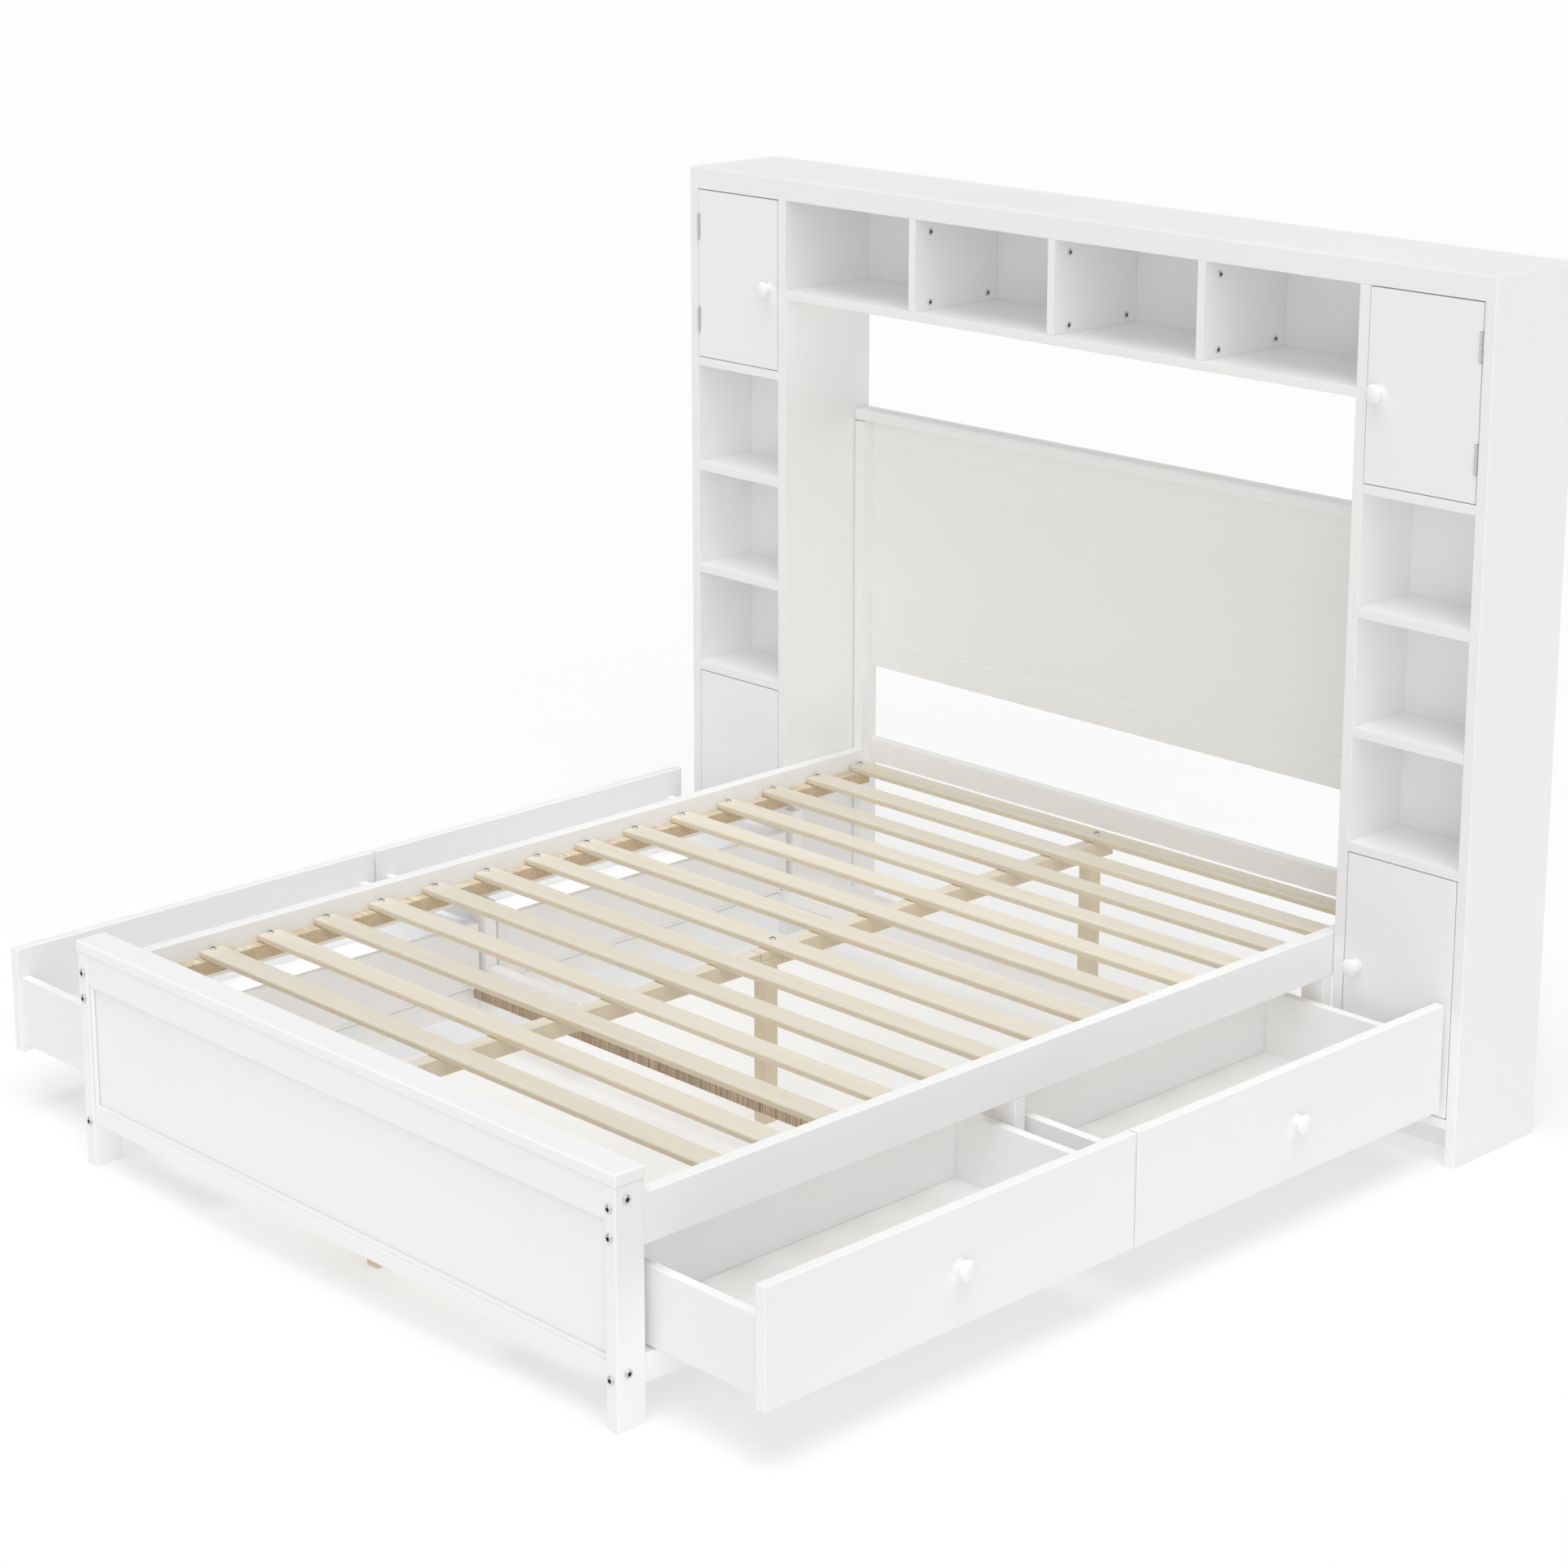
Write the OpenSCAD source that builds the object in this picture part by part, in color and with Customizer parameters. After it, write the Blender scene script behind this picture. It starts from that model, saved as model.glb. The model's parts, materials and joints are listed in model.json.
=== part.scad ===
// Platform bed with a bookcase headboard, four side drawers and a slatted deck.
// +Z up, +Y towards the headboard, X across the bed. The origin is on the floor,
// midway across the bed and midway between the footboard and the tower backs.
// Drawers stand part open and doors are shut, as the rest pose.

/* [Overall size] */
// clear width between the side rails, for the mattress
mattress_w = 1384; // [900:1:1600]
// length from the face of the foot posts to the back of the towers
frame_len = 1984; // [1700:1:2300]
// height of the headboard with its top board
head_h = 1609; // [1450:1:1800]
// outside width of one tower
tower_w = 283.5; // [240:0.5:360]
// depth of the towers and the bridge, front to back
tower_d = 244; // [210:1:320]

/* [Side rails and deck] */
// thickness of the rails, posts and cleats
rail_t = 25; // [20:0.5:35]
// height of the upper side rails
rail_h = 85; // [75:1:140]
// height of the slats' underside above the floor
deck_z = 336.5; // [300:0.5:420]
// how far the side rails stand above the slats' underside
rail_over_deck = 40; // [25:1:60]
// height of the cleats under the slats
cleat_h = 27; // [20:1:40]
// number of slats
slat_n = 14; // [10:1:18]
// width of a slat
slat_w = 50; // [40:1:90]
// thickness of a slat
slat_t = 14; // [10:0.5:25]
// from the foot posts' face to the first slat
slat_from_foot = 237.5; // [80:0.5:300]
// from the last slat to the headboard's back
slat_from_back = 32.5; // [20:0.5:120]
// gap at each end of a slat
slat_gap = 1.5; // [0.5:0.1:6]

/* [Centre beam] */
// width of the beam and its legs
beam_w = 30; // [24:1:60]
// height of the beam
beam_h = 33; // [25:1:60]
// beam centre from the bed's centre line
beam_x = -16; // [-40:1:40]
// size of a leg along the bed
leg_d = 32; // [25:1:60]
// distances of the three legs' centres from the foot posts' face
leg_at = [115, 1012.5, 1908];
// length of the half lap over the middle leg
lap_len = 55; // [30:1:120]
// open line left in butt and lap joints of the raw wood
joint_gap = 1.5; // [0.5:0.1:3]

/* [Footboard] */
// depth of a foot post along the bed
foot_post_d = 58; // [40:1:90]
// height of the foot posts, under the cap
foot_post_h = 402; // [380:1:600]
// thickness of the cap
cap_t = 21.5; // [15:0.5:35]
// how far the cap overhangs the posts
cap_over = 2; // [0:0.5:10]
// setback of the footboard rails behind the posts' face
foot_rail_set = 2; // [0:0.5:10]
// thickness of the footboard rails
foot_rail_t = 40; // [20:1:50]
// height of the footboard's upper rail
foot_upper_h = 57.5; // [40:0.5:90]
// underside of the footboard's lower rail
foot_lower_z = 83; // [60:1:120]
// height of the footboard's lower rail
foot_lower_h = 28; // [24:1:60]
// thickness of the panels of footboard and headboard
panel_t = 12; // [8:0.5:18]
// setback of the footboard panel behind its rails
foot_panel_set = 10; // [4:0.5:20]
// width of the moulding round the footboard panel
mould_w = 10; // [6:0.5:20]

/* [Lower frame] */
// underside of the lower side rails
low_rail_z = 65; // [40:1:100]
// height of the lower side rails
low_rail_h = 48; // [30:1:70]
// depth of the posts between the drawers, across the bed
bay_post_d = 50; // [30:1:70]
// underside of the crossbars and drawer runners
cross_z = 94; // [70:1:110]
// height of the crossbars and drawer runners
cross_h = 24; // [20:1:40]
// thickness of the crossbars
cross_t = 15; // [12:1:30]
// where the two pieces of the middle crossbar meet
cross_joint_x = 122; // [-200:1:200]
// length of a drawer guide
guide_len = 275; // [200:1:400]
// height of a drawer guide
guide_h = 65; // [50:1:100]
// width of a drawer runner
runner_w = 25; // [15:1:60]

/* [Drawers] */
// thickness of a drawer front
front_t = 21; // [15:0.5:30]
// height of a drawer front
front_h = 202; // [170:1:230]
// underside of a drawer front
front_z = 104; // [80:1:120]
// gap between a front and the foot post or the tower
front_end_gap = 9; // [4:0.5:20]
// gap between two neighbouring fronts
front_mid_gap = 4; // [2:0.5:10]
// gap between a shut front and the lower rails
shut_gap = 0.5; // [0.3:0.1:3]
// length of a drawer box behind its front
box_len = 355; // [300:1:600]
// height of a drawer box, where the side rail above leaves room for it
box_h = 131.5; // [100:0.5:160]
// least gap between a box and the side rail above it
box_rail_gap = 2; // [1:0.5:20]
// thickness of a box side
box_side_t = 18; // [12:0.5:22]
// thickness of a box back
box_back_t = 15; // [9:0.5:20]
// thickness of a box bottom
box_floor_t = 6; // [4:0.5:12]
// height of the box bottom above the sides' lower edge
box_floor_lift = 4; // [1:0.5:12]
// depth of the grooves that hold the box bottom
groove_d = 6; // [4:0.5:9]
// glue line between the boards of a box
glue = 0.1; // [0.05:0.01:0.3]
// gap between a box and the guides beside it
box_gap = 12; // [6:0.5:20]
// gap between a box and the foot posts
box_foot_gap = 17; // [8:0.5:40]
// gap between a box and the runners under it
run_gap = 0.5; // [0.3:0.1:3]
// how far the right drawers stand open
open_right = 233.5; // [0:0.5:310]
// how far the left drawers stand open
open_left = 314; // [0:0.5:318]

/* [Headboard panel] */
// depth of a head post along the bed
head_post_d = 44; // [30:1:60]
// height of the head posts, under the cap
head_post_h = 1087; // [900:1:1250]
// thickness of the head cap
head_cap_t = 25.5; // [18:0.5:40]
// thickness of the headboard's rails
head_rail_t = 18; // [15:0.5:30]
// height of the top rail
head_top_h = 48.5; // [30:0.5:90]
// height of the panel field
head_field_h = 418; // [250:1:600]
// height of the bottom rail
head_bottom_h = 61.5; // [30:0.5:90]
// setback of the panel field behind its rails
head_field_set = 4; // [2:0.5:8]
// underside of the low rail at the deck
head_low_z = 346.5; // [320:0.5:420]
// height of the low rail at the deck
head_low_h = 52; // [30:1:80]

/* [Towers and bridge] */
// thickness of the towers' side panels
side_t = 22; // [16:0.5:28]
// gap between the bed frame and a tower
tower_gap = 1.5; // [0.5:0.1:5]
// thickness of shelves and floors
shelf_t = 18; // [15:0.5:25]
// heights of the tops of the tower shelves
shelf_tops = [554, 768, 988.5, 1213];
// height of the top of the tower floor
tower_floor_top = 87; // [60:1:120]
// depth of the tower's inside, front to back panel
tower_inside_d = 152; // [120:1:200]
// thickness of the tower back panels
tower_back_t = 6; // [4:0.5:12]
// setback of the toe kick
toe_set = 71; // [30:1:100]
// thickness of the top board
top_t = 21.5; // [15:0.5:30]
// how far the fascia hangs below the top board
fascia_h = 22; // [15:0.5:40]
// thickness of the fascia
fascia_t = 18; // [12:0.5:25]
// height of the cubbies in the bridge, from floor to fascia
bridge_cubby_h = 183; // [150:1:300]
// number of dividers in the bridge
divider_n = 3; // [1:1:5]
// thickness of a divider
divider_t = 17; // [12:0.5:22]
// thickness of the bridge back panel
bridge_back_t = 4.5; // [3:0.5:12]

/* [Doors] */
// thickness of a door
door_t = 16; // [12:0.5:22]
// gap round a door
door_gap = 2; // [1:0.1:4]
// radius of an upper door's hinge barrel
barrel_r = 3; // [2:0.1:5]
// length of a hinge barrel
barrel_len = 52.5; // [30:0.5:80]
// from a door's end to the middle of a barrel
barrel_inset = 77; // [50:1:120]
// clearance round a barrel
barrel_clear = 0.6; // [0.3:0.1:1.5]
// thickness of a hinge leaf
leaf_t = 1.2; // [0.8:0.1:1.5]
// radius of a lower door's pivot pin
pin_r = 2; // [1.5:0.1:3]
// length of a pivot pin inside the door
pin_len = 8; // [5:0.5:15]
// clearance round a pivot pin
pin_clear = 0.06; // [0.02:0.01:0.1]

/* [Knobs and fixings] */
// radius of a knob's head
knob_r = 17; // [12:0.5:22]
// radius of a knob's foot
knob_foot_r = 14.5; // [11:0.5:18]
// radius of a knob's waist
knob_waist_r = 10; // [6:0.5:14]
// how far a knob stands out
knob_out = 28; // [18:1:40]
// from a door's free edge to its knob
knob_inset = 26; // [18:1:60]
// height of the upper doors' knobs
knob_upper_z = 1380; // [1240:1:1550]
// height of the lower doors' knobs, where the drawer fronts leave room for them
knob_lower_z = 324; // [120:1:500]
// least gap between a drawer front and the knob above it
knob_front_gap = 1; // [0.5:0.5:10]
// radius of a frame bolt's head
bolt_head_r = 7.5; // [5:0.1:10]
// height of a frame bolt's head
bolt_head_h = 3.5; // [2:0.1:6]
// radius of a frame bolt's shank
bolt_r = 3; // [2.5:0.1:4]
// length of a front or back frame bolt
bolt_len = 78; // [70:1:120]
// length of a side frame bolt
side_bolt_len = 55; // [40:1:80]
// clearance round the shanks of bolts and screws
bolt_clear = 0.2; // [0.1:0.05:0.5]
// distances of the bolts in the side rails from the rails' top
bolt_rail_drop = [12, 59.5];
// height of the bolts into the lower side rails
bolt_low_z = 84.5; // [72:0.5:105]
// heights of the side bolts into the footboard rails
bolt_side_z = [378, 93.5];
// radius of a slat screw's head
screw_head_r = 6.5; // [4:0.1:8]
// height of a slat screw's head
screw_head_h = 2.5; // [1.5:0.1:4]
// radius of a screw's shank
screw_r = 2; // [1.5:0.1:3]
// length of a screw
screw_len = 22; // [16:1:40]
// from a slat's end to its screw
screw_inset = 8; // [6:0.5:25]
// slats, counted from the foot, with a third screw into the beam
beam_screw_slats = [6, 13];

/* [Hidden] */
$fn = 48;
white = [0.94, 0.94, 0.93];
pine = [0.87, 0.80, 0.67];
rough_wood = [0.70, 0.57, 0.40];
steel = [0.55, 0.55, 0.54];
eps = 0.01;

// across the bed: rail inner face, frame outer face, tower faces
rail_x = mattress_w/2;
frame_x = rail_x + rail_t;
inner_x = frame_x + tower_gap;
outer_x = inner_x + tower_w;
cab_x0 = inner_x + side_t;
cab_x1 = outer_x - side_t;
// along the bed: face of the foot posts, backs, tower front, deck ends
foot_y = -(frame_len - cap_over)/2;
back_y = foot_y + frame_len;
tower_y = back_y - tower_d;
post_back_y = foot_y + foot_post_d;
head_post_y = back_y - head_post_d;
// drawer bays: middle post and end post
mid_y = (post_back_y + tower_y)/2;
mid_y0 = mid_y - rail_t/2;
mid_y1 = mid_y + rail_t/2;
end_y0 = tower_y - rail_t;
bay_x = frame_x - bay_post_d;
// heights
rail_top_z = deck_z + rail_over_deck;
rail_z = rail_top_z - rail_h;
bolt_rail_z = [for (drop = bolt_rail_drop) rail_top_z - drop];
runner_top = cross_z + cross_h;
box_z = runner_top + run_gap;
box_top_z = min(box_z + box_h, rail_z - box_rail_gap);
knob_low_z = max(knob_lower_z, front_z + front_h + knob_front_gap + knob_r);
top_z = head_h - top_t;
fascia_z = top_z - fascia_h;
bridge_z = fascia_z - bridge_cubby_h;
low_shelf_z = shelf_tops[0] - shelf_t;
// slat places
slat_y0 = foot_y + slat_from_foot + slat_w/2;
slat_y1 = back_y - slat_from_back - slat_w/2;
slat_pitch = (slat_y1 - slat_y0)/(slat_n - 1);
slat_x = rail_x - slat_gap;
screw_x = slat_x - screw_inset;
function slat_y(i) = slat_y0 + i*slat_pitch;
// divider places
cubby_w = (2*inner_x - divider_n*divider_t)/(divider_n + 1);
function divider_x(i) = -inner_x + (i + 1)*cubby_w + (i + 0.5)*divider_t;
// drawer places: [foot end, head end] of fronts and boxes
front_foot = [post_back_y + front_end_gap, mid_y - front_mid_gap/2];
front_head = [mid_y + front_mid_gap/2, tower_y - front_end_gap];
box_foot = [post_back_y + box_foot_gap, mid_y0 - box_gap];
box_head = [mid_y1 + box_gap, end_y0 - box_gap];
shut_x = frame_x + shut_gap;
// hinge axes of the doors
barrel_x = cab_x1 - barrel_r - 0.5;
barrel_y = tower_y - 1;
pin_x = cab_x1 - door_gap - pin_r - 2;
pin_y = tower_y + pin_r + 2;
// rail bolts pass through the middle of the rails
bolt_x = rail_x + rail_t/2;
side_bolt_y = foot_y + foot_rail_set + foot_rail_t/2;

// a block given by its low and high corners
module block(lo, hi) { translate(lo) cube(hi - lo); }

// the same children on the right and, mirrored, on the left
module both_sides() {
    children();
    mirror([1, 0, 0]) children();
}

// ---- footboard ----

module foot_post() {
    difference() {
        block([rail_x + 1, foot_y, 0], [frame_x + 2, post_back_y, foot_post_h]);
        for (z = concat(bolt_rail_z, [bolt_low_z])) frame_bolt_hole(z);
        for (z = bolt_side_z) side_bolt_hole(z);
    }
}

module foot_posts() { color(white) both_sides() foot_post(); }

module foot_cap() {
    color(white)
        block([-frame_x - 2 - cap_over, foot_y - cap_over, foot_post_h],
              [frame_x + 2 + cap_over, post_back_y + cap_over, foot_post_h + cap_t]);
}

module foot_rail(z, h, bolt_z) {
    difference() {
        block([-rail_x - 1, foot_y + foot_rail_set, z],
              [rail_x + 1, foot_y + foot_rail_set + foot_rail_t, z + h]);
        both_sides() side_bolt_hole(bolt_z);
    }
}

module foot_upper_rail() {
    color(white) foot_rail(foot_post_h - foot_upper_h, foot_upper_h, bolt_side_z[0]);
}

module foot_lower_rail() {
    color(white) foot_rail(foot_lower_z, foot_lower_h, bolt_side_z[1]);
}

module foot_panel() {
    y = foot_y + foot_rail_set + foot_panel_set;
    color(white)
        block([-rail_x - 1, y, foot_lower_z + foot_lower_h],
              [rail_x + 1, y + panel_t, foot_post_h - foot_upper_h]);
}

// a mitred bead in two steps round the panel's face
module foot_moulding() {
    y = foot_y + foot_rail_set + foot_panel_set;
    x = rail_x + 1;
    z0 = foot_lower_z + foot_lower_h;
    z1 = foot_post_h - foot_upper_h;
    color(white)
        for (step = [0, 1]) {
            w = step == 0 ? mould_w : mould_w*0.55;
            d = step == 0 ? foot_panel_set*0.35 : foot_panel_set*0.35;
            difference() {
                block([-x, y - d*(step + 1), z0], [x, y - d*step, z1]);
                block([-x + w, y - d*(step + 1) - 1, z0 + w],
                      [x - w, y - d*step + 1, z1 - w]);
            }
        }
}

// ---- bolts ----

// domed head with a hex socket on a plain shank; head outward along +Z
module bolt(len, r, head_r, head_h) {
    difference() {
        union() {
            cylinder(h = head_h*0.6, r = head_r);
            translate([0, 0, head_h*0.6])
                cylinder(h = head_h*0.4, r1 = head_r, r2 = head_r*0.72);
            translate([0, 0, -len]) cylinder(h = len + eps, r = r);
        }
        translate([0, 0, head_h*0.35]) cylinder(h = head_h, r = head_r*0.48, $fn = 6);
    }
}

module frame_bolt_hole(z) {
    translate([bolt_x, foot_y - 1, z]) rotate([-90, 0, 0])
        cylinder(h = bolt_len + 3, r = bolt_r + bolt_clear);
}

module head_bolt_hole(z) {
    translate([bolt_x, back_y + 1, z]) rotate([90, 0, 0])
        cylinder(h = bolt_len + 3, r = bolt_r + bolt_clear);
}

module side_bolt_hole(z) {
    translate([frame_x + 3, side_bolt_y, z]) rotate([0, -90, 0])
        cylinder(h = side_bolt_len + 3, r = bolt_r + bolt_clear);
}

module frame_bolts() {
    color(steel) both_sides() {
        for (z = concat(bolt_rail_z, [bolt_low_z]))
            translate([bolt_x, foot_y, z]) rotate([90, 0, 0])
                bolt(bolt_len, bolt_r, bolt_head_r, bolt_head_h);
        for (z = bolt_rail_z)
            translate([bolt_x, back_y, z]) rotate([-90, 0, 0])
                bolt(bolt_len, bolt_r, bolt_head_r, bolt_head_h);
        for (z = bolt_side_z)
            translate([frame_x + 2, side_bolt_y, z]) rotate([0, 90, 0])
                bolt(side_bolt_len, bolt_r, bolt_head_r, bolt_head_h);
    }
}

// ---- side rails, cleats, slats ----

module side_rails() {
    color(white) both_sides() difference() {
        block([rail_x, post_back_y, rail_z], [frame_x, head_post_y, rail_top_z]);
        for (z = bolt_rail_z) {
            frame_bolt_hole(z);
            head_bolt_hole(z);
        }
    }
}

module slat_cleats() {
    color(rough_wood) both_sides() difference() {
        block([rail_x - rail_t, post_back_y + cap_over + 2, deck_z - cleat_h],
              [rail_x, head_post_y, deck_z]);
        for (i = [0:slat_n - 1])
            translate([screw_x, slat_y(i), deck_z + slat_t]) screw_hole();
    }
}

module slats() {
    color(pine) for (i = [0:slat_n - 1]) difference() {
        block([-slat_x, slat_y(i) - slat_w/2, deck_z],
              [slat_x, slat_y(i) + slat_w/2, deck_z + slat_t]);
        for (s = [-1, 1])
            translate([s*screw_x, slat_y(i), deck_z + slat_t]) screw_hole();
        for (k = beam_screw_slats) if (k == i)
            translate([beam_x, slat_y(i), deck_z + slat_t]) screw_hole();
    }
}

module screw_hole() {
    translate([0, 0, -screw_len - 1])
        cylinder(h = screw_len + 2, r = screw_r + bolt_clear, $fn = 24);
}

module slat_screw() {
    bolt(screw_len, screw_r, screw_head_r, screw_head_h, $fn = 24);
}

module slat_screws() {
    color(steel) {
        for (i = [0:slat_n - 1]) for (s = [-1, 1])
            translate([s*screw_x, slat_y(i), deck_z + slat_t]) slat_screw();
        for (k = beam_screw_slats)
            translate([beam_x, slat_y(k), deck_z + slat_t]) slat_screw();
    }
}

// ---- centre beam and legs ----

lap_y = foot_y + leg_at[1];
beam_z = deck_z - beam_h;

module beam_piece(y0, y1) {
    difference() {
        block([beam_x - beam_w/2, y0, beam_z], [beam_x + beam_w/2, y1, deck_z]);
        for (k = beam_screw_slats)
            translate([beam_x, slat_y(k), deck_z + slat_t]) screw_hole();
    }
}

// the foot piece keeps the lower tongue of the half lap
module beam_foot() {
    color(pine) difference() {
        beam_piece(post_back_y + 4, lap_y + lap_len/2);
        block([beam_x - beam_w, lap_y - lap_len/2, beam_z + beam_h/2],
              [beam_x + beam_w, lap_y + lap_len, deck_z + 1]);
    }
}

module beam_head() {
    color(pine) difference() {
        beam_piece(lap_y - lap_len/2 + joint_gap, back_y - head_rail_t - 6);
        block([beam_x - beam_w, lap_y - lap_len, beam_z - 1],
              [beam_x + beam_w, lap_y + lap_len/2 + joint_gap, beam_z + beam_h/2]);
    }
}

module beam_legs() {
    color(pine) for (y = leg_at)
        block([beam_x - beam_w/2, foot_y + y - leg_d/2, 0],
              [beam_x + beam_w/2, foot_y + y + leg_d/2, beam_z]);
}

// ---- lower frame that carries the drawers ----

module lower_rails() {
    color(white) both_sides() for (y = [[post_back_y, mid_y0], [mid_y1, end_y0]])
        difference() {
            block([rail_x, y[0], low_rail_z], [frame_x, y[1], low_rail_z + low_rail_h]);
            frame_bolt_hole(bolt_low_z);
        }
}

module bay_posts() {
    color(white) both_sides() for (y = [mid_y0, end_y0])
        block([bay_x, y, low_rail_z], [frame_x, y + rail_t, rail_z]);
}

// raw crossbar in two pieces in front of the middle posts
module crossbars() {
    color(rough_wood) {
        block([-rail_x, mid_y0 - cross_t, cross_z],
              [cross_joint_x - joint_gap/2, mid_y0, runner_top]);
        block([cross_joint_x + joint_gap/2, mid_y0 - cross_t, cross_z],
              [rail_x, mid_y0, runner_top]);
    }
}

module head_crossbar() {
    color(white)
        block([-rail_x, end_y0 - cross_t, cross_z], [rail_x, end_y0, runner_top]);
}

// upright board from a bay post inward, with its free end's corners rounded
module drawer_guide(y) {
    r = 7;
    x0 = bay_x - guide_len;
    translate([0, y + rail_t, 0]) rotate([90, 0, 0]) linear_extrude(rail_t) {
        translate([x0 + r, cross_z]) square([guide_len - r, guide_h]);
        translate([x0, cross_z + r]) square([guide_len, guide_h - 2*r]);
        for (z = [cross_z + r, cross_z + guide_h - r])
            translate([x0 + r, z]) circle(r);
    }
}

module drawer_guides() {
    color(white) both_sides() for (y = [mid_y0, end_y0]) drawer_guide(y);
}

module drawer_runners() {
    x0 = bay_x - guide_len;
    yf = foot_y + foot_rail_set + foot_rail_t;
    color(white) both_sides() {
        block([x0, yf, cross_z], [rail_x, box_foot[0] + runner_w, runner_top]);
        block([x0, mid_y1, cross_z], [rail_x, box_head[0] + runner_w/2, runner_top]);
    }
}

// ---- headboard panel ----

head_rail_y = back_y - head_rail_t;
head_top_z = head_post_h - head_top_h;
head_field_z = head_top_z - head_field_h;
head_bottom_z = head_field_z - head_bottom_h;

module head_posts() {
    color(white) both_sides() difference() {
        block([rail_x, head_post_y, 0], [frame_x, back_y, head_post_h]);
        for (z = bolt_rail_z) head_bolt_hole(z);
    }
}

// cap with a half-round front edge
module head_cap() {
    r = head_cap_t/2;
    y0 = head_post_y - cap_over + r;
    color(white) translate([-frame_x, 0, head_post_h])
        rotate([90, 0, 90]) linear_extrude(2*frame_x) {
            translate([y0, 0]) square([back_y - y0, head_cap_t]);
            translate([y0, r]) circle(r);
        }
}

module head_rail(z, h) {
    color(white) block([-rail_x, head_rail_y, z], [rail_x, back_y, z + h]);
}

module head_top_rail() { head_rail(head_top_z, head_top_h); }
module head_bottom_rail() { head_rail(head_bottom_z, head_bottom_h); }
module head_low_rail() { head_rail(head_low_z, head_low_h); }

module head_panel() {
    y = head_rail_y + head_field_set;
    color(white) block([-rail_x, y, head_field_z], [rail_x, y + panel_t, head_top_z]);
}

// ---- towers ----

module tower_sides() {
    color(white) both_sides()
        block([cab_x1, tower_y, 0], [outer_x, back_y, head_h]);
}

module tower_inners() {
    color(white) both_sides() difference() {
        block([inner_x, tower_y, 0], [cab_x0, back_y, top_z]);
        block([inner_x - 1, tower_y - 1, fascia_z],
              [cab_x0 + 1, tower_y + fascia_t, top_z + 1]);
    }
}

module tower_board(z0, z1) {
    block([cab_x0, tower_y, z0], [cab_x1, tower_y + tower_inside_d, z1]);
}

module tower_shelves() {
    color(white) both_sides() difference() {
        for (z = shelf_tops) tower_board(z - shelf_t, z);
    }
}

module tower_floors() {
    color(white) both_sides() tower_board(tower_floor_top - shelf_t, tower_floor_top);
}

module toe_kicks() {
    color(white) both_sides()
        block([cab_x0, tower_y + toe_set, 0],
              [cab_x1, tower_y + toe_set + shelf_t, tower_floor_top - shelf_t]);
}

module tower_backs() {
    y = tower_y + tower_inside_d;
    color(white) both_sides()
        block([cab_x0, y, tower_floor_top - shelf_t], [cab_x1, y + tower_back_t, top_z]);
}

// ---- bridge over the bed ----

// the fascia hides the top board's front edge
module bridge_top() {
    color(white)
        block([-cab_x1, tower_y + fascia_t, top_z], [cab_x1, back_y, head_h]);
}

module bridge_fascia() {
    color(white)
        block([-cab_x1, tower_y, fascia_z], [cab_x1, tower_y + fascia_t, head_h]);
}

module bridge_floor() {
    color(white)
        block([-inner_x, tower_y, bridge_z - shelf_t], [inner_x, back_y, bridge_z]);
}

module bridge_back() {
    color(white)
        block([-inner_x, back_y - bridge_back_t, bridge_z], [inner_x, back_y, top_z]);
}

module dividers() {
    color(white) for (i = [0:divider_n - 1]) {
        x = divider_x(i);
        difference() {
            block([x - divider_t/2, tower_y, bridge_z],
                  [x + divider_t/2, back_y - bridge_back_t, top_z]);
            block([x - divider_t, tower_y - 1, fascia_z],
                  [x + divider_t, tower_y + fascia_t, top_z + 1]);
            divider_bolt_places(i) translate([0, 0, -13])
                cylinder(h = 14, r = screw_r + bolt_clear, $fn = 24);
        }
    }
}

// four places on a divider's right face, local +Z outward
module divider_bolt_places(i) {
    for (y = [tower_y + 43, back_y - bridge_back_t - 30])
        for (z = [bridge_z + 16, fascia_z - 28])
            translate([divider_x(i) + divider_t/2, y, z]) rotate([0, 90, 0]) children();
}

module divider_bolts() {
    color(steel) for (i = [0:divider_n - 1])
        divider_bolt_places(i) bolt(12, screw_r, screw_head_r, screw_head_h, $fn = 24);
}

// ---- doors ----

// butt hinges for the upper doors: a barrel in front and a leaf that is
// fixed to the side panel's inner face; pivot pins for the lower doors
module door_hinges() {
    z0 = shelf_tops[3] + door_gap;
    z1 = fascia_z - door_gap;
    color(steel) both_sides() {
        for (z = [z0 + barrel_inset, z1 - barrel_inset])
            translate([0, 0, z - barrel_len/2]) {
                translate([barrel_x, barrel_y, 0])
                    cylinder(h = barrel_len, r = barrel_r, $fn = 32);
                block([barrel_x, barrel_y - leaf_t, 0],
                      [cab_x1, barrel_y, barrel_len]);
                block([cab_x1 - leaf_t, barrel_y - leaf_t, 0],
                      [cab_x1, tower_y + door_t, barrel_len]);
            }
        for (z = [tower_floor_top, low_shelf_z - door_gap - pin_len])
            translate([pin_x, pin_y, z])
                cylinder(h = door_gap + pin_len, r = pin_r, $fn = 32);
    }
}

module door_leaf(z0, z1) {
    block([cab_x0 + door_gap, tower_y, z0],
          [cab_x1 - door_gap, tower_y + door_t, z1]);
}

module upper_door() {
    z0 = shelf_tops[3] + door_gap;
    z1 = fascia_z - door_gap;
    color(white) difference() {
        door_leaf(z0, z1);
        for (z = [z0 + barrel_inset, z1 - barrel_inset])
            translate([barrel_x, barrel_y, z - barrel_len/2 - 1])
                cylinder(h = barrel_len + 2, r = barrel_r + barrel_clear, $fn = 32);
    }
}

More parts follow.
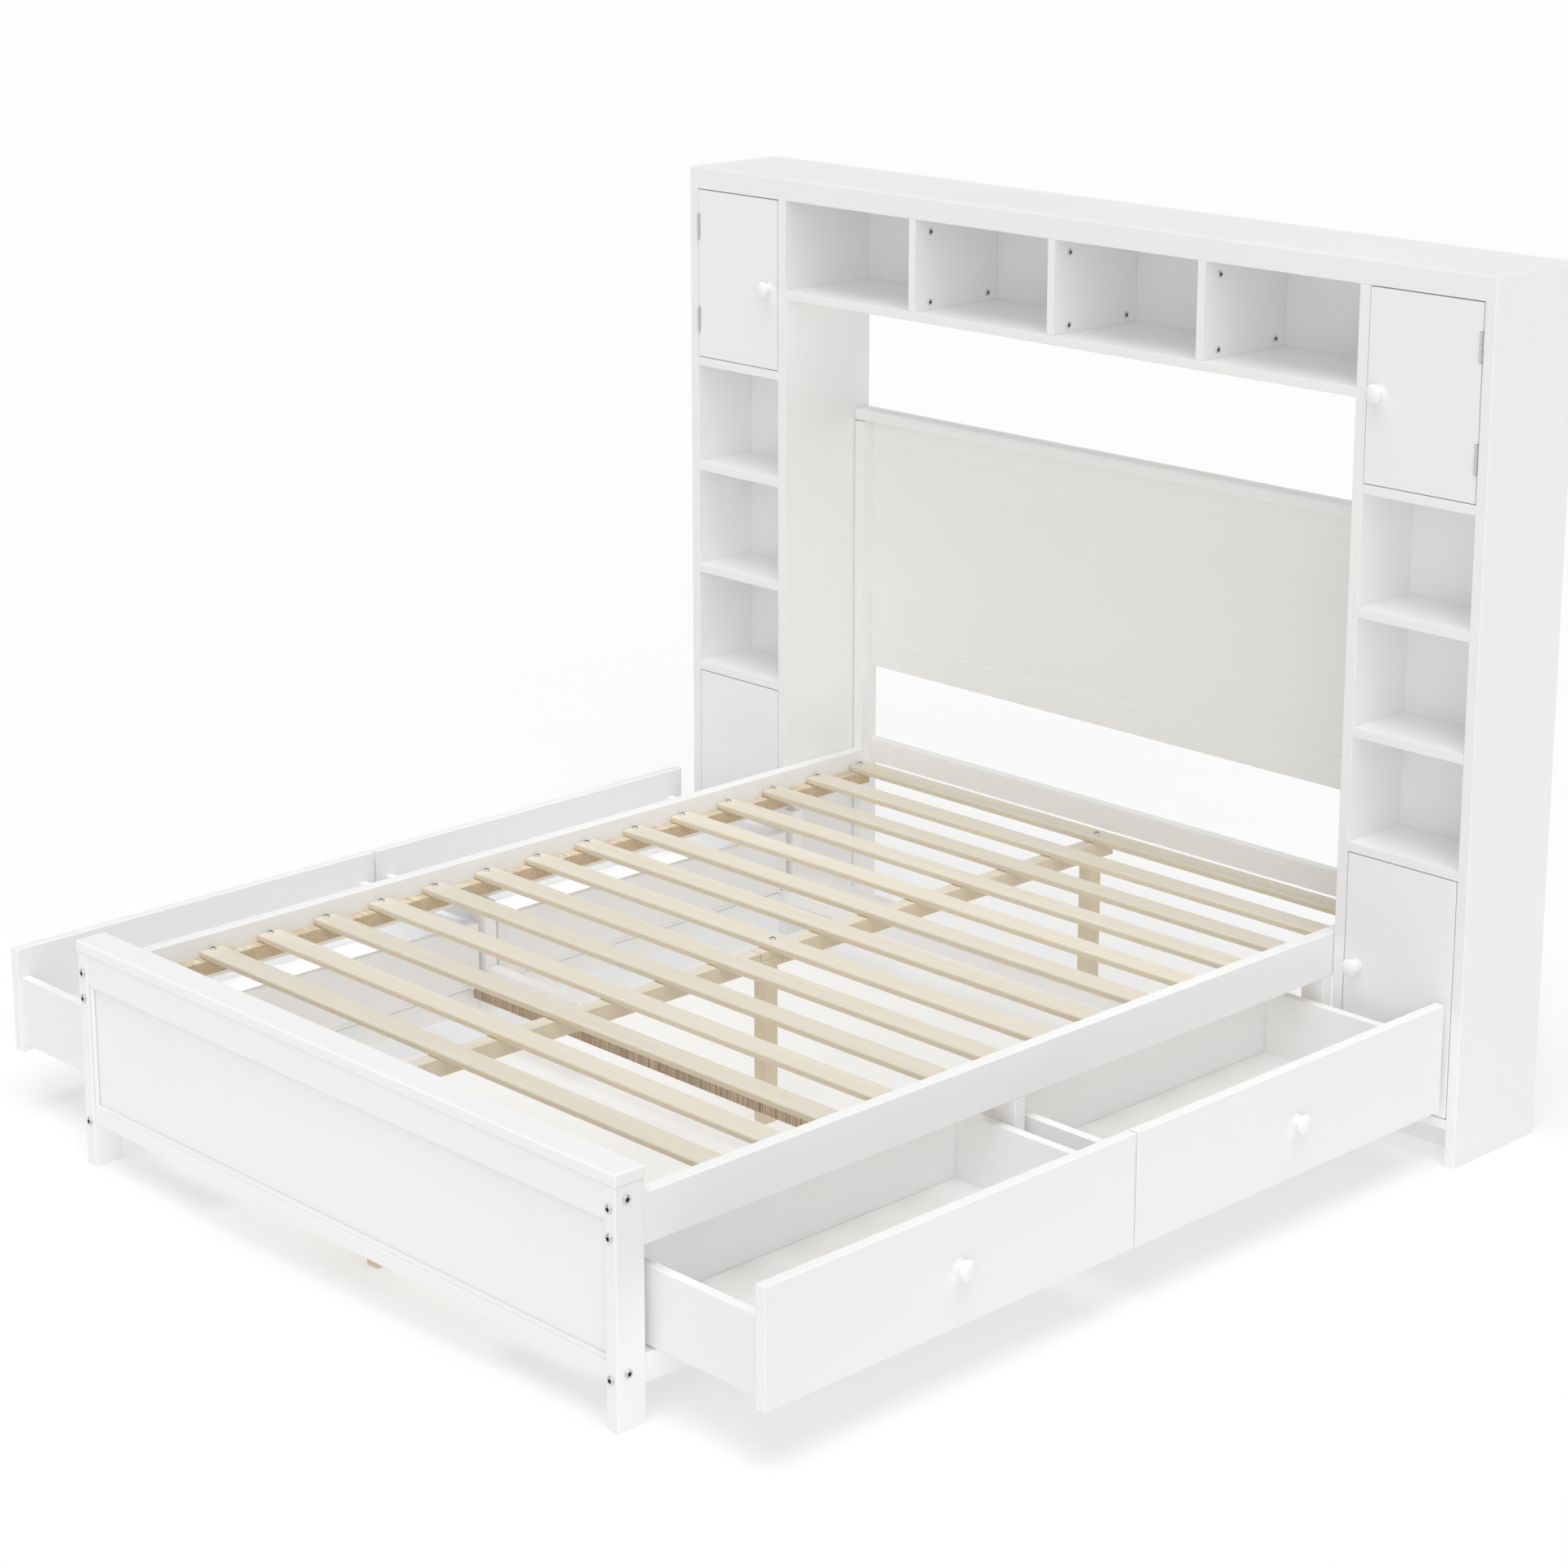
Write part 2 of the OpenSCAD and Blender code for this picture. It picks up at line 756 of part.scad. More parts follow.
module lower_door() {
    z0 = tower_floor_top + door_gap;
    z1 = low_shelf_z - door_gap;
    color(white) difference() {
        door_leaf(z0, z1);
        for (z = [z0 - 1, z1 - pin_len - 1])
            translate([pin_x, pin_y, z])
                cylinder(h = pin_len + 2, r = pin_r + pin_clear, $fn = 32);
    }
}

module door_upper_left() { mirror([1, 0, 0]) upper_door(); }
module door_upper_right() { upper_door(); }
module door_lower_left() { mirror([1, 0, 0]) lower_door(); }
module door_lower_right() { lower_door(); }

// ---- knobs ----

// mushroom knob turned in one piece, standing out along +Z:
// a round foot, a hollowed waist and a flattened ball for the head
module knob() {
    waist_z = knob_out*0.29;
    cove_r = knob_out*0.2;
    head_z = knob_out*0.62;
    head_h2 = knob_out - head_z;
    color(white) rotate_extrude() {
        difference() {
            square([knob_foot_r, head_z]);
            translate([knob_waist_r + cove_r, waist_z]) circle(cove_r);
        }
        intersection() {
            translate([0, head_z]) scale([1, head_h2/knob_r]) circle(knob_r);
            translate([0, waist_z + cove_r*0.7]) square([knob_r + 1, knob_out]);
        }
    }
}

module door_knob(z) {
    translate([cab_x0 + door_gap + knob_inset, tower_y, z]) rotate([90, 0, 0]) knob();
}

module knob_upper_left() { mirror([1, 0, 0]) door_knob(knob_upper_z); }
module knob_upper_right() { door_knob(knob_upper_z); }
module knob_lower_left() { mirror([1, 0, 0]) door_knob(knob_low_z); }
module knob_lower_right() { door_knob(knob_low_z); }

// ---- drawers ----

module drawer_front(y, open) {
    color(white) block([shut_x + open, y[0], front_z],
                       [shut_x + open + front_t, y[1], front_z + front_h]);
}

// four boards behind the front: two grooved sides, a back between them and a
// thin bottom that slides in the grooves, with a glue line at each joint
module drawer_box(y, open) {
    x1 = shut_x + open;
    x0 = x1 - box_len;
    floor_y0 = y[0] + box_side_t - groove_d;
    floor_y1 = y[1] - box_side_t + groove_d;
    floor_z = box_z + box_floor_lift;
    color(white) {
        difference() {
            union() {
                block([x0, y[0], box_z], [x1, y[0] + box_side_t, box_top_z]);
                block([x0, y[1] - box_side_t, box_z], [x1, y[1], box_top_z]);
            }
            block([x0 - 1, floor_y0, floor_z - glue],
                  [x1 + 1, floor_y1, floor_z + box_floor_t + glue]);
        }
        block([x0, y[0] + box_side_t + glue, floor_z + box_floor_t + glue],
              [x0 + box_back_t, y[1] - box_side_t - glue, box_top_z]);
        block([x0, floor_y0 + glue, floor_z],
              [x1, floor_y1 - glue, floor_z + box_floor_t]);
    }
}

module drawer_knob(y, open) {
    translate([shut_x + open + front_t, (y[0] + y[1])/2, front_z + front_h/2])
        rotate([0, 90, 0]) knob();
}

module front_foot_left() { mirror([1, 0, 0]) drawer_front(front_foot, open_left); }
module front_foot_right() { drawer_front(front_foot, open_right); }
module front_head_left() { mirror([1, 0, 0]) drawer_front(front_head, open_left); }
module front_head_right() { drawer_front(front_head, open_right); }
module box_foot_left() { mirror([1, 0, 0]) drawer_box(box_foot, open_left); }
module box_foot_right() { drawer_box(box_foot, open_right); }
module box_head_left() { mirror([1, 0, 0]) drawer_box(box_head, open_left); }
module box_head_right() { drawer_box(box_head, open_right); }
module knob_foot_left() { mirror([1, 0, 0]) drawer_knob(front_foot, open_left); }
module knob_foot_right() { drawer_knob(front_foot, open_right); }
module knob_head_left() { mirror([1, 0, 0]) drawer_knob(front_head, open_left); }
module knob_head_right() { drawer_knob(front_head, open_right); }

// ---- the whole bed ----

foot_posts();
foot_cap();
foot_upper_rail();
foot_panel();
foot_moulding();
foot_lower_rail();
frame_bolts();
side_rails();
slat_cleats();
lower_rails();
bay_posts();
crossbars();
head_crossbar();
drawer_guides();
drawer_runners();
slats();
slat_screws();
beam_foot();
beam_head();
beam_legs();
head_posts();
head_cap();
head_top_rail();
head_panel();
head_bottom_rail();
head_low_rail();
tower_sides();
tower_inners();
tower_shelves();
tower_floors();
toe_kicks();
tower_backs();
bridge_top();
bridge_fascia();
bridge_floor();
bridge_back();
dividers();
divider_bolts();
door_hinges();
door_upper_left();
door_upper_right();
door_lower_left();
door_lower_right();
knob_upper_left();
knob_upper_right();
knob_lower_left();
knob_lower_right();
front_foot_left();
front_foot_right();
front_head_left();
front_head_right();
box_foot_left();
box_foot_right();
box_head_left();
box_head_right();
knob_foot_left();
knob_foot_right();
knob_head_left();
knob_head_right();
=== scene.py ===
import json
import math

import bpy
import numpy as np
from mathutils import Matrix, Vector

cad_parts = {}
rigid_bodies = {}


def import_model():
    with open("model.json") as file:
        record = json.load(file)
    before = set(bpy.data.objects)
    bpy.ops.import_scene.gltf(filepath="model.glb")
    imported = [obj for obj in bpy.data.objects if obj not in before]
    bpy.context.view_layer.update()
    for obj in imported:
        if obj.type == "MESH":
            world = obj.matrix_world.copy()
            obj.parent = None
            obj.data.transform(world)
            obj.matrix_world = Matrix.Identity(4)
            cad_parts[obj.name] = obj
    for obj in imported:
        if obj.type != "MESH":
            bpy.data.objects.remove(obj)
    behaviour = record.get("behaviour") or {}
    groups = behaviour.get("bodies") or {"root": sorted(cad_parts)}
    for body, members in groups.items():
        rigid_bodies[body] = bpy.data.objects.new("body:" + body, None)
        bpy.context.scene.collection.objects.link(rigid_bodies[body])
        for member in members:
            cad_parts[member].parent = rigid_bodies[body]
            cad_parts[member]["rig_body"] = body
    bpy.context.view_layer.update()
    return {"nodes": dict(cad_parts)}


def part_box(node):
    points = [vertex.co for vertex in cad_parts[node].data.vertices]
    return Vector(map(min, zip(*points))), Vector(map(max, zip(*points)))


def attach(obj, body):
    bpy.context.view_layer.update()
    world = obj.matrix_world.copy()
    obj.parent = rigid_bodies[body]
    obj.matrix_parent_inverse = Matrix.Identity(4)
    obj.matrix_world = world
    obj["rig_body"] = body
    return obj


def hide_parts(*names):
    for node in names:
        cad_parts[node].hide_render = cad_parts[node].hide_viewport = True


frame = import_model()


# ---------------------------------------------------------------------------
# Footboard: two solid posts, two rails and a thin panel, planed wood under a
# satin white lacquer. Every board has its arrises eased by hand before paint.
# ---------------------------------------------------------------------------

AXIS = {"x": 0, "y": 1, "z": 2}
CORNER_SHARE = 1.3      # a long arris is rounder than an end's by this factor
MOST_EASE = 0.3         # no arris takes more than this share of a thin board
GRAIN_SPREAD = 4        # boards are cut up to this many metres apart in the log
board_luck = np.random.default_rng(41)


def solids_of(node):
    """Low and high corner of each separate solid of a CAD node. Triangles
    that share a corner belong together: each takes the lowest label that
    its corners have, again and again, until no label changes."""
    mesh = frame["nodes"][node].data
    corners = np.empty(len(mesh.vertices) * 3)
    mesh.vertices.foreach_get("co", corners)
    corners = corners.reshape(-1, 3)
    tris = np.empty(len(mesh.loops), np.int64)
    mesh.loops.foreach_get("vertex_index", tris)
    _, same = np.unique(np.round(corners, 5), axis=0, return_inverse=True)
    same = same.ravel()
    tris = same[tris].reshape(-1, 3)
    label = np.arange(same.max() + 1)
    while True:
        lower = label.copy()
        np.minimum.at(lower, tris.ravel(), np.repeat(label[tris].min(1), 3))
        lower = lower[lower]
        if (lower == label).all():
            break
        label = lower
    owner = label[same]
    return [(corners[owner == k].min(0), corners[owner == k].max(0))
            for k in np.unique(owner)]


def eased_outline(corners, radius, steps=4):
    """Closed outline with square corners, each turned on an arc. With n the
    outward normals of the edges before and after a corner, the point at angle
    f is centre + side * radius * (cos f * n_before + sin f * n_after), where
    side is +1 at an outer corner and -1 at an inner one."""
    corners = np.asarray(corners, float)
    radius = np.broadcast_to(np.asarray(radius, float), len(corners))[:, None]
    before = corners - np.roll(corners, 1, 0)
    before /= np.linalg.norm(before, axis=1)[:, None]
    after = np.roll(before, -1, 0)
    n_before = np.c_[before[:, 1], -before[:, 0]]
    n_after = np.c_[after[:, 1], -after[:, 0]]
    turn = before[:, 0] * after[:, 1] - before[:, 1] * after[:, 0]
    centre = corners + radius * (after - before)
    f = np.linspace(0, math.pi / 2, steps + 1)
    normal = (np.cos(f)[None, :, None] * n_before[:, None]
              + np.sin(f)[None, :, None] * n_after[:, None])
    side = np.sign(turn)[:, None, None]
    points = centre[:, None] + side * radius[:, None] * normal
    arris = np.broadcast_to(np.sin(2 * f), normal.shape[:2])
    return points.reshape(-1, 2), normal.reshape(-1, 2), arris.reshape(-1)


def carried_board(outline, axis, start, end, ease, grain, steps=3):
    """An outline carried along an axis between two ends, as one closed skin.
    Near each end ring f is drawn in by ease * (1 - sin f) and set back by
    ease * (1 - cos f), so the end arris is a quarter round."""
    flat, normal, arris = outline
    i, j = (axis + 1) % 3, (axis + 2) % 3
    f = np.linspace(0, math.pi / 2, steps + 1)
    place = np.r_[start + ease * (1 - np.cos(f)), end - ease * (1 - np.cos(f[::-1]))]
    inset = ease * (1 - np.sin(np.r_[f, f[::-1]]))
    lean = np.r_[-np.cos(f), np.cos(f[::-1])]
    rings, count = len(place), len(flat)
    skin = np.zeros((rings, count, 3))
    facing = np.zeros((rings, count, 3))
    at = flat[None] - inset[:, None, None] * normal[None]
    skin[..., i], skin[..., j] = at[..., 0], at[..., 1]
    skin[..., axis] = place[:, None]
    out = np.sqrt(1 - lean ** 2)[:, None, None] * normal[None]
    facing[..., i], facing[..., j] = out[..., 0], out[..., 1]
    facing[..., axis] = lean[:, None]
    edge = np.maximum(np.abs(np.sin(2 * np.arccos(np.abs(lean))))[:, None], arris[None])
    a, b = np.meshgrid(np.arange(rings - 1), np.arange(count), indexing="ij")
    c = (b + 1) % count
    quads = np.stack([a * count + b, a * count + c,
                      (a + 1) * count + c, (a + 1) * count + b], -1).reshape(-1, 4)
    first = np.arange(count)[::-1]
    faces = quads.tolist() + [first.tolist(), (first[::-1] + (rings - 1) * count).tolist()]
    skin = skin.reshape(-1, 3)
    along = AXIS[grain]
    fibre = skin[:, [along, (along + 1) % 3, (along + 2) % 3]]
    fibre = fibre + board_luck.uniform(-GRAIN_SPREAD, GRAIN_SPREAD, 3)
    tone = np.full(len(skin), board_luck.uniform())
    return {"co": skin, "faces": faces, "normal": facing.reshape(-1, 3),
            "fibre": fibre, "arris": edge.reshape(-1), "tone": tone}


def board(low, high, ease, grain=None):
    """A plain board: its cross-section carried along its longest side."""
    size = np.asarray(high) - np.asarray(low)
    axis = int(np.argmax(size))
    i, j = (axis + 1) % 3, (axis + 2) % 3
    ease = min(ease, MOST_EASE * size.min())
    rim = [(low[i], low[j]), (high[i], low[j]), (high[i], high[j]), (low[i], high[j])]
    return carried_board(eased_outline(rim, CORNER_SHARE * ease), axis, low[axis],
                         high[axis], ease, grain or "xyz"[axis])


def fit_piece(name, parts, material, node):
    """One object from parts given as arrays. It stands for a CAD node, rides
    on that node's body and takes the given material. A part's flank is
    1 - |n_z|: 0 on faces that look up or down, 1 on upright ones."""
    base, faces = 0, []
    for p in parts:
        faces += [[v + base for v in f] for f in p["faces"]]
        base += len(p["co"])
    mesh = bpy.data.meshes.new(name)
    mesh.from_pydata(np.concatenate([p["co"] for p in parts]).tolist(), [], faces)
    for p in parts:
        p["flank"] = 1 - np.abs(p["normal"][:, 2])
    for key, kind, slot in (("fibre", "FLOAT_VECTOR", "vector"), ("arris", "FLOAT", "value"),
                            ("tone", "FLOAT", "value"), ("flank", "FLOAT", "value")):
        data = np.concatenate([p[key] for p in parts]).astype(np.float32)
        mesh.attributes.new(key, kind, "POINT").data.foreach_set(slot, data.ravel())
    mesh.shade_smooth()
    mesh.normals_split_custom_set_from_vertices(
        np.concatenate([p["normal"] for p in parts]).tolist())
    mesh.materials.append(material)
    mesh.update()
    thing = bpy.data.objects.new(name, mesh)
    bpy.context.scene.collection.objects.link(thing)
    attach(thing, frame["nodes"][node]["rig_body"])
    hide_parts(node)
    return thing


def boards(node, material, ease, grain=None):
    """Eased boards in the places of a CAD node's plain boxes."""
    return fit_piece(node + "_boards", [board(low, high, ease, grain)
                                        for low, high in solids_of(node)], material, node)


def add(tree, kind, feeds=None, **settings):
    """One shader node: settings are its own choices, feeds its inputs."""
    made = tree.nodes.new("ShaderNode" + kind)
    for key, value in settings.items():
        setattr(made, key, value)
    for key, value in (feeds or {}).items():
        if isinstance(value, bpy.types.NodeSocket):
            tree.links.new(value, made.inputs[key])
        else:
            made.inputs[key].default_value = value
    return made


def new_group(name, inputs, outputs):
    """An empty shader node group with named inputs and outputs."""
    tree = bpy.data.node_groups.new(name, "ShaderNodeTree")
    for label, kind, value in inputs:
        made = tree.interface.new_socket(label, in_out="INPUT", socket_type="NodeSocket" + kind)
        if value is not None:
            made.default_value = value
    for label, kind in outputs:
        tree.interface.new_socket(label, in_out="OUTPUT", socket_type="NodeSocket" + kind)
    return tree, tree.nodes.new("NodeGroupInput").outputs, tree.nodes.new("NodeGroupOutput").inputs


# Lacquer film: broad cloudiness from the spray, a fine orange peel, the wood's
# fibre telegraphing through, and a few dust nibs.
film, film_in, film_out = new_group(
    "lacquer_film",
    [("Position", "Vector", None), ("Fibre", "Vector", None),
     ("Peel size", "Float", 650.0), ("Fibre share", "Float", 0.5)],
    [("Cloud", "Float"), ("Gloss", "Float"), ("Height", "Float")])
cloud = add(film, "TexNoise", {"Vector": film_in["Position"], "Scale": 3.1,
                               "Detail": 3.0, "Roughness": 0.55})
peel = add(film, "TexNoise", {"Vector": film_in["Position"], "Scale": film_in["Peel size"],
                              "Detail": 1.5, "Roughness": 0.4})
stretch = add(film, "Mapping", {"Vector": film_in["Fibre"], "Scale": (9.0, 240.0, 240.0)})
ghost = add(film, "TexNoise", {"Vector": stretch.outputs[0], "Scale": 1.0,
                               "Detail": 4.0, "Roughness": 0.62})
nibs = add(film, "TexVoronoi", {"Vector": film_in["Position"], "Scale": 70.0})
nib = add(film, "MapRange", {"Value": nibs.outputs["Distance"], "From Min": 0.0,
                             "From Max": 0.045, "To Min": 0.5, "To Max": 0.0})
ghosted = add(film, "Math", {0: ghost.outputs[0], 1: film_in["Fibre share"]},
              operation="MULTIPLY")
skin_height = add(film, "Math", {0: peel.outputs[0], 1: ghosted.outputs[0]}, operation="ADD")
skin_full = add(film, "Math", {0: skin_height.outputs[0], 1: nib.outputs[0]}, operation="ADD")
sheen = add(film, "Math", {0: cloud.outputs[0], 1: ghost.outputs[0]}, operation="MULTIPLY")
film.links.new(cloud.outputs[0], film_out["Cloud"])
film.links.new(sheen.outputs[0], film_out["Gloss"])
film.links.new(skin_full.outputs[0], film_out["Height"])

# Arris wear: paint rubs thin only where an edge is turned, broken up by noise.
wear, wear_in, wear_out = new_group(
    "arris_wear",
    [("Position", "Vector", None), ("Arris", "Float", 0.0), ("Amount", "Float", 0.5)],
    [("Worn", "Float")])
rub = add(wear, "TexNoise", {"Vector": wear_in["Position"], "Scale": 26.0, "Detail": 5.0,
                             "Roughness": 0.7})
rub_edge = add(wear, "MapRange", {"Value": rub.outputs[0], "From Min": 0.42, "From Max": 0.68})
rubbed = add(wear, "Math", {0: rub_edge.outputs[0], 1: wear_in["Arris"]}, operation="MULTIPLY")
worn = add(wear, "Math", {0: rubbed.outputs[0], 1: wear_in["Amount"]}, operation="MULTIPLY")
wear.links.new(worn.outputs[0], wear_out["Worn"])


def lacquer(name, bright, shade, rubbed_to, rough, peel_size, fibre_share, wear_amount, depth):
    """Painted wood: colour wanders between two whites with the film's cloud,
    turns to the rubbed white on worn arrises; gloss and relief come from the
    same film."""
    made = bpy.data.materials.new(name)
    made.use_nodes = True
    tree = made.node_tree
    skin = tree.nodes["Principled BSDF"]
    skin.inputs["Specular IOR Level"].default_value = 0.42
    spot = add(tree, "TexCoord").outputs["Object"]
    fibre = add(tree, "Attribute", attribute_name="fibre").outputs["Vector"]
    arris = add(tree, "Attribute", attribute_name="arris").outputs["Fac"]
    coat = add(tree, "Group", node_tree=film)
    tree.links.new(spot, coat.inputs["Position"])
    tree.links.new(fibre, coat.inputs["Fibre"])
    coat.inputs["Peel size"].default_value = peel_size
    coat.inputs["Fibre share"].default_value = fibre_share
    rubbing = add(tree, "Group", node_tree=wear)
    tree.links.new(spot, rubbing.inputs["Position"])
    tree.links.new(arris, rubbing.inputs["Arris"])
    rubbing.inputs["Amount"].default_value = wear_amount
    cloudy = add(tree, "Mix", {0: coat.outputs["Cloud"], 6: (*shade, 1), 7: (*bright, 1)},
                 data_type="RGBA")
    colour = add(tree, "Mix", {0: rubbing.outputs[0], 6: cloudy.outputs[2], 7: (*rubbed_to, 1)},
                 data_type="RGBA")
    dull = add(tree, "MapRange", {"Value": coat.outputs["Gloss"], "From Min": 0.1,
                                  "From Max": 0.45, "To Min": rough - 0.07,
                                  "To Max": rough + 0.07})
    relief = add(tree, "Bump", {"Height": coat.outputs["Height"], "Strength": 0.35,
                                "Distance": depth})
    tree.links.new(colour.outputs[2], skin.inputs["Base Color"])
    tree.links.new(dull.outputs[0], skin.inputs["Roughness"])
    tree.links.new(relief.outputs[0], skin.inputs["Normal"])
    return made


satin_white = lacquer("satin_white_lacquer", bright=(0.945, 0.945, 0.943),
                      shade=(0.925, 0.925, 0.922), rubbed_to=(0.960, 0.958, 0.952),
                      rough=0.40, peel_size=650, fibre_share=0.55, wear_amount=0.55,
                      depth=0.00012)
for node in ("foot_posts", "foot_upper_rail", "foot_lower_rail"):
    boards(node, satin_white, ease=0.0016)
boards("foot_panel", satin_white, ease=0.0006)

# the cap overhangs its posts and has a softer arris where hands rest on it
boards("foot_cap", satin_white, ease=0.0030)


# ---------------------------------------------------------------------------
# Footboard moulding: a small bead mitred round the front of the panel, glued
# in the corner between the panel and its rails.
# ---------------------------------------------------------------------------

def mitred_bead(low, high, width, depth):
    """A bead carried round a rectangle in the XZ plane. Its section runs from
    the outer corner over a quarter hollow and a half-round nose down to the
    panel: point t lies at an inset w(t) from the rectangle and a height d(t)
    in front of the panel, and the four corners share their mitre lines."""
    hollow = np.linspace(0, math.pi / 2, 5)
    nose = np.linspace(math.pi / 2, -math.pi / 2 * 0.9, 7)
    w = np.r_[0.0, 0.0, 0.34 * width * (1 - np.cos(hollow[1:])) + 0.02 * width,
              0.40 * width + 0.30 * width * np.cos(nose), width, width]
    d = np.r_[0.0, depth, depth * (1 - 0.36 * np.sin(hollow[1:])),
              depth * (0.34 + 0.28 * np.sin(nose)), 0.07 * depth, 0.0]
    x = np.stack([low[0] + w, high[0] - w, high[0] - w, low[0] + w], 1)
    z = np.stack([low[2] + w, low[2] + w, high[2] - w, high[2] - w], 1)
    y = np.repeat((high[1] - d)[:, None], 4, 1)
    skin = np.stack([x, y, z], -1).reshape(-1, 3)
    rows = len(w)
    a, b = np.meshgrid(np.arange(rows), np.arange(4), indexing="ij")
    c, e = (b + 1) % 4, (a + 1) % rows
    faces = np.stack([a * 4 + b, a * 4 + c, e * 4 + c, e * 4 + b], -1).reshape(-1, 4)
    return skin, faces.tolist()


low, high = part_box("foot_moulding")
skin, faces = mitred_bead(low, high, width=0.010, depth=high[1] - low[1])
mesh = bpy.data.meshes.new("foot_bead")
mesh.from_pydata(skin.tolist(), [], faces)
mesh.shade_smooth()
ends = np.empty(len(mesh.edges) * 2, np.int32)
mesh.edges.foreach_get("vertices", ends)
mitre = ends[0::2] % 4 == ends[1::2] % 4
mesh.attributes.new("sharp_edge", "BOOLEAN", "EDGE").data.foreach_set("value", mitre)
mesh.attributes.new("fibre", "FLOAT_VECTOR", "POINT").data.foreach_set(
    "vector", skin.astype(np.float32).ravel())
mesh.materials.append(satin_white)
foot_bead = bpy.data.objects.new("foot_bead", mesh)
bpy.context.scene.collection.objects.link(foot_bead)
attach(foot_bead, "bed")
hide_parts("foot_moulding")


# ---------------------------------------------------------------------------
# Side rails: long lacquered planks bolted between the posts. The cleats that
# carry the slats are raw sawn softwood screwed to their inner faces.
# ---------------------------------------------------------------------------

boards("side_rails", satin_white, ease=0.0018)

# Timber figure: growth bands are noise drawn out along the fibre, pores are
# much finer and longer, and the height stands up with both.
timber, timber_in, timber_out = new_group(
    "timber_figure",
    [("Fibre", "Vector", None), ("Tone", "Float", 0.5), ("Band size", "Float", 60.0),
     ("Draw out", "Float", 0.03), ("Pore size", "Float", 900.0)],
    [("Band", "Float"), ("Pore", "Float"), ("Height", "Float")])
drawn = add(timber, "Math", {0: timber_in["Band size"], 1: timber_in["Draw out"]},
            operation="MULTIPLY")
band_scale = add(timber, "CombineXYZ", {0: drawn.outputs[0], 1: timber_in["Band size"],
                                        2: timber_in["Band size"]})
band_at = add(timber, "VectorMath", {0: timber_in["Fibre"], 1: band_scale.outputs[0]},
              operation="MULTIPLY")
swirl = add(timber, "TexNoise", {"Vector": band_at.outputs[0], "Scale": 1.0, "Detail": 4.0,
                                 "Roughness": 0.55, "Distortion": 0.6})
lines = add(timber, "Math", {0: swirl.outputs[0], 1: 9.0}, operation="MULTIPLY")
shifted = add(timber, "Math", {0: lines.outputs[0], 1: timber_in["Tone"]}, operation="ADD")
ring = add(timber, "Math", {0: shifted.outputs[0], 1: 1.0}, operation="PINGPONG")
ring_soft = add(timber, "MapRange", {"Value": ring.outputs[0], "From Min": 0.0,
                                     "From Max": 1.0}, interpolation_type="SMOOTHSTEP")
pore_long = add(timber, "Math", {0: timber_in["Pore size"], 1: 0.02}, operation="MULTIPLY")
pore_scale = add(timber, "CombineXYZ", {0: pore_long.outputs[0], 1: timber_in["Pore size"],
                                        2: timber_in["Pore size"]})
pore_at = add(timber, "VectorMath", {0: timber_in["Fibre"], 1: pore_scale.outputs[0]},
              operation="MULTIPLY")
pore = add(timber, "TexNoise", {"Vector": pore_at.outputs[0], "Scale": 1.0, "Detail": 3.0,
                                "Roughness": 0.7})
pore_cut = add(timber, "MapRange", {"Value": pore.outputs[0], "From Min": 0.38,
                                    "From Max": 0.66})
ribbed = add(timber, "Math", {0: ring_soft.outputs[0], 1: 0.35}, operation="MULTIPLY")
ridged = add(timber, "Math", {0: ribbed.outputs[0], 1: pore_cut.outputs[0]}, operation="ADD")
timber.links.new(ring_soft.outputs[0], timber_out["Band"])
timber.links.new(pore_cut.outputs[0], timber_out["Pore"])
timber.links.new(ridged.outputs[0], timber_out["Height"])


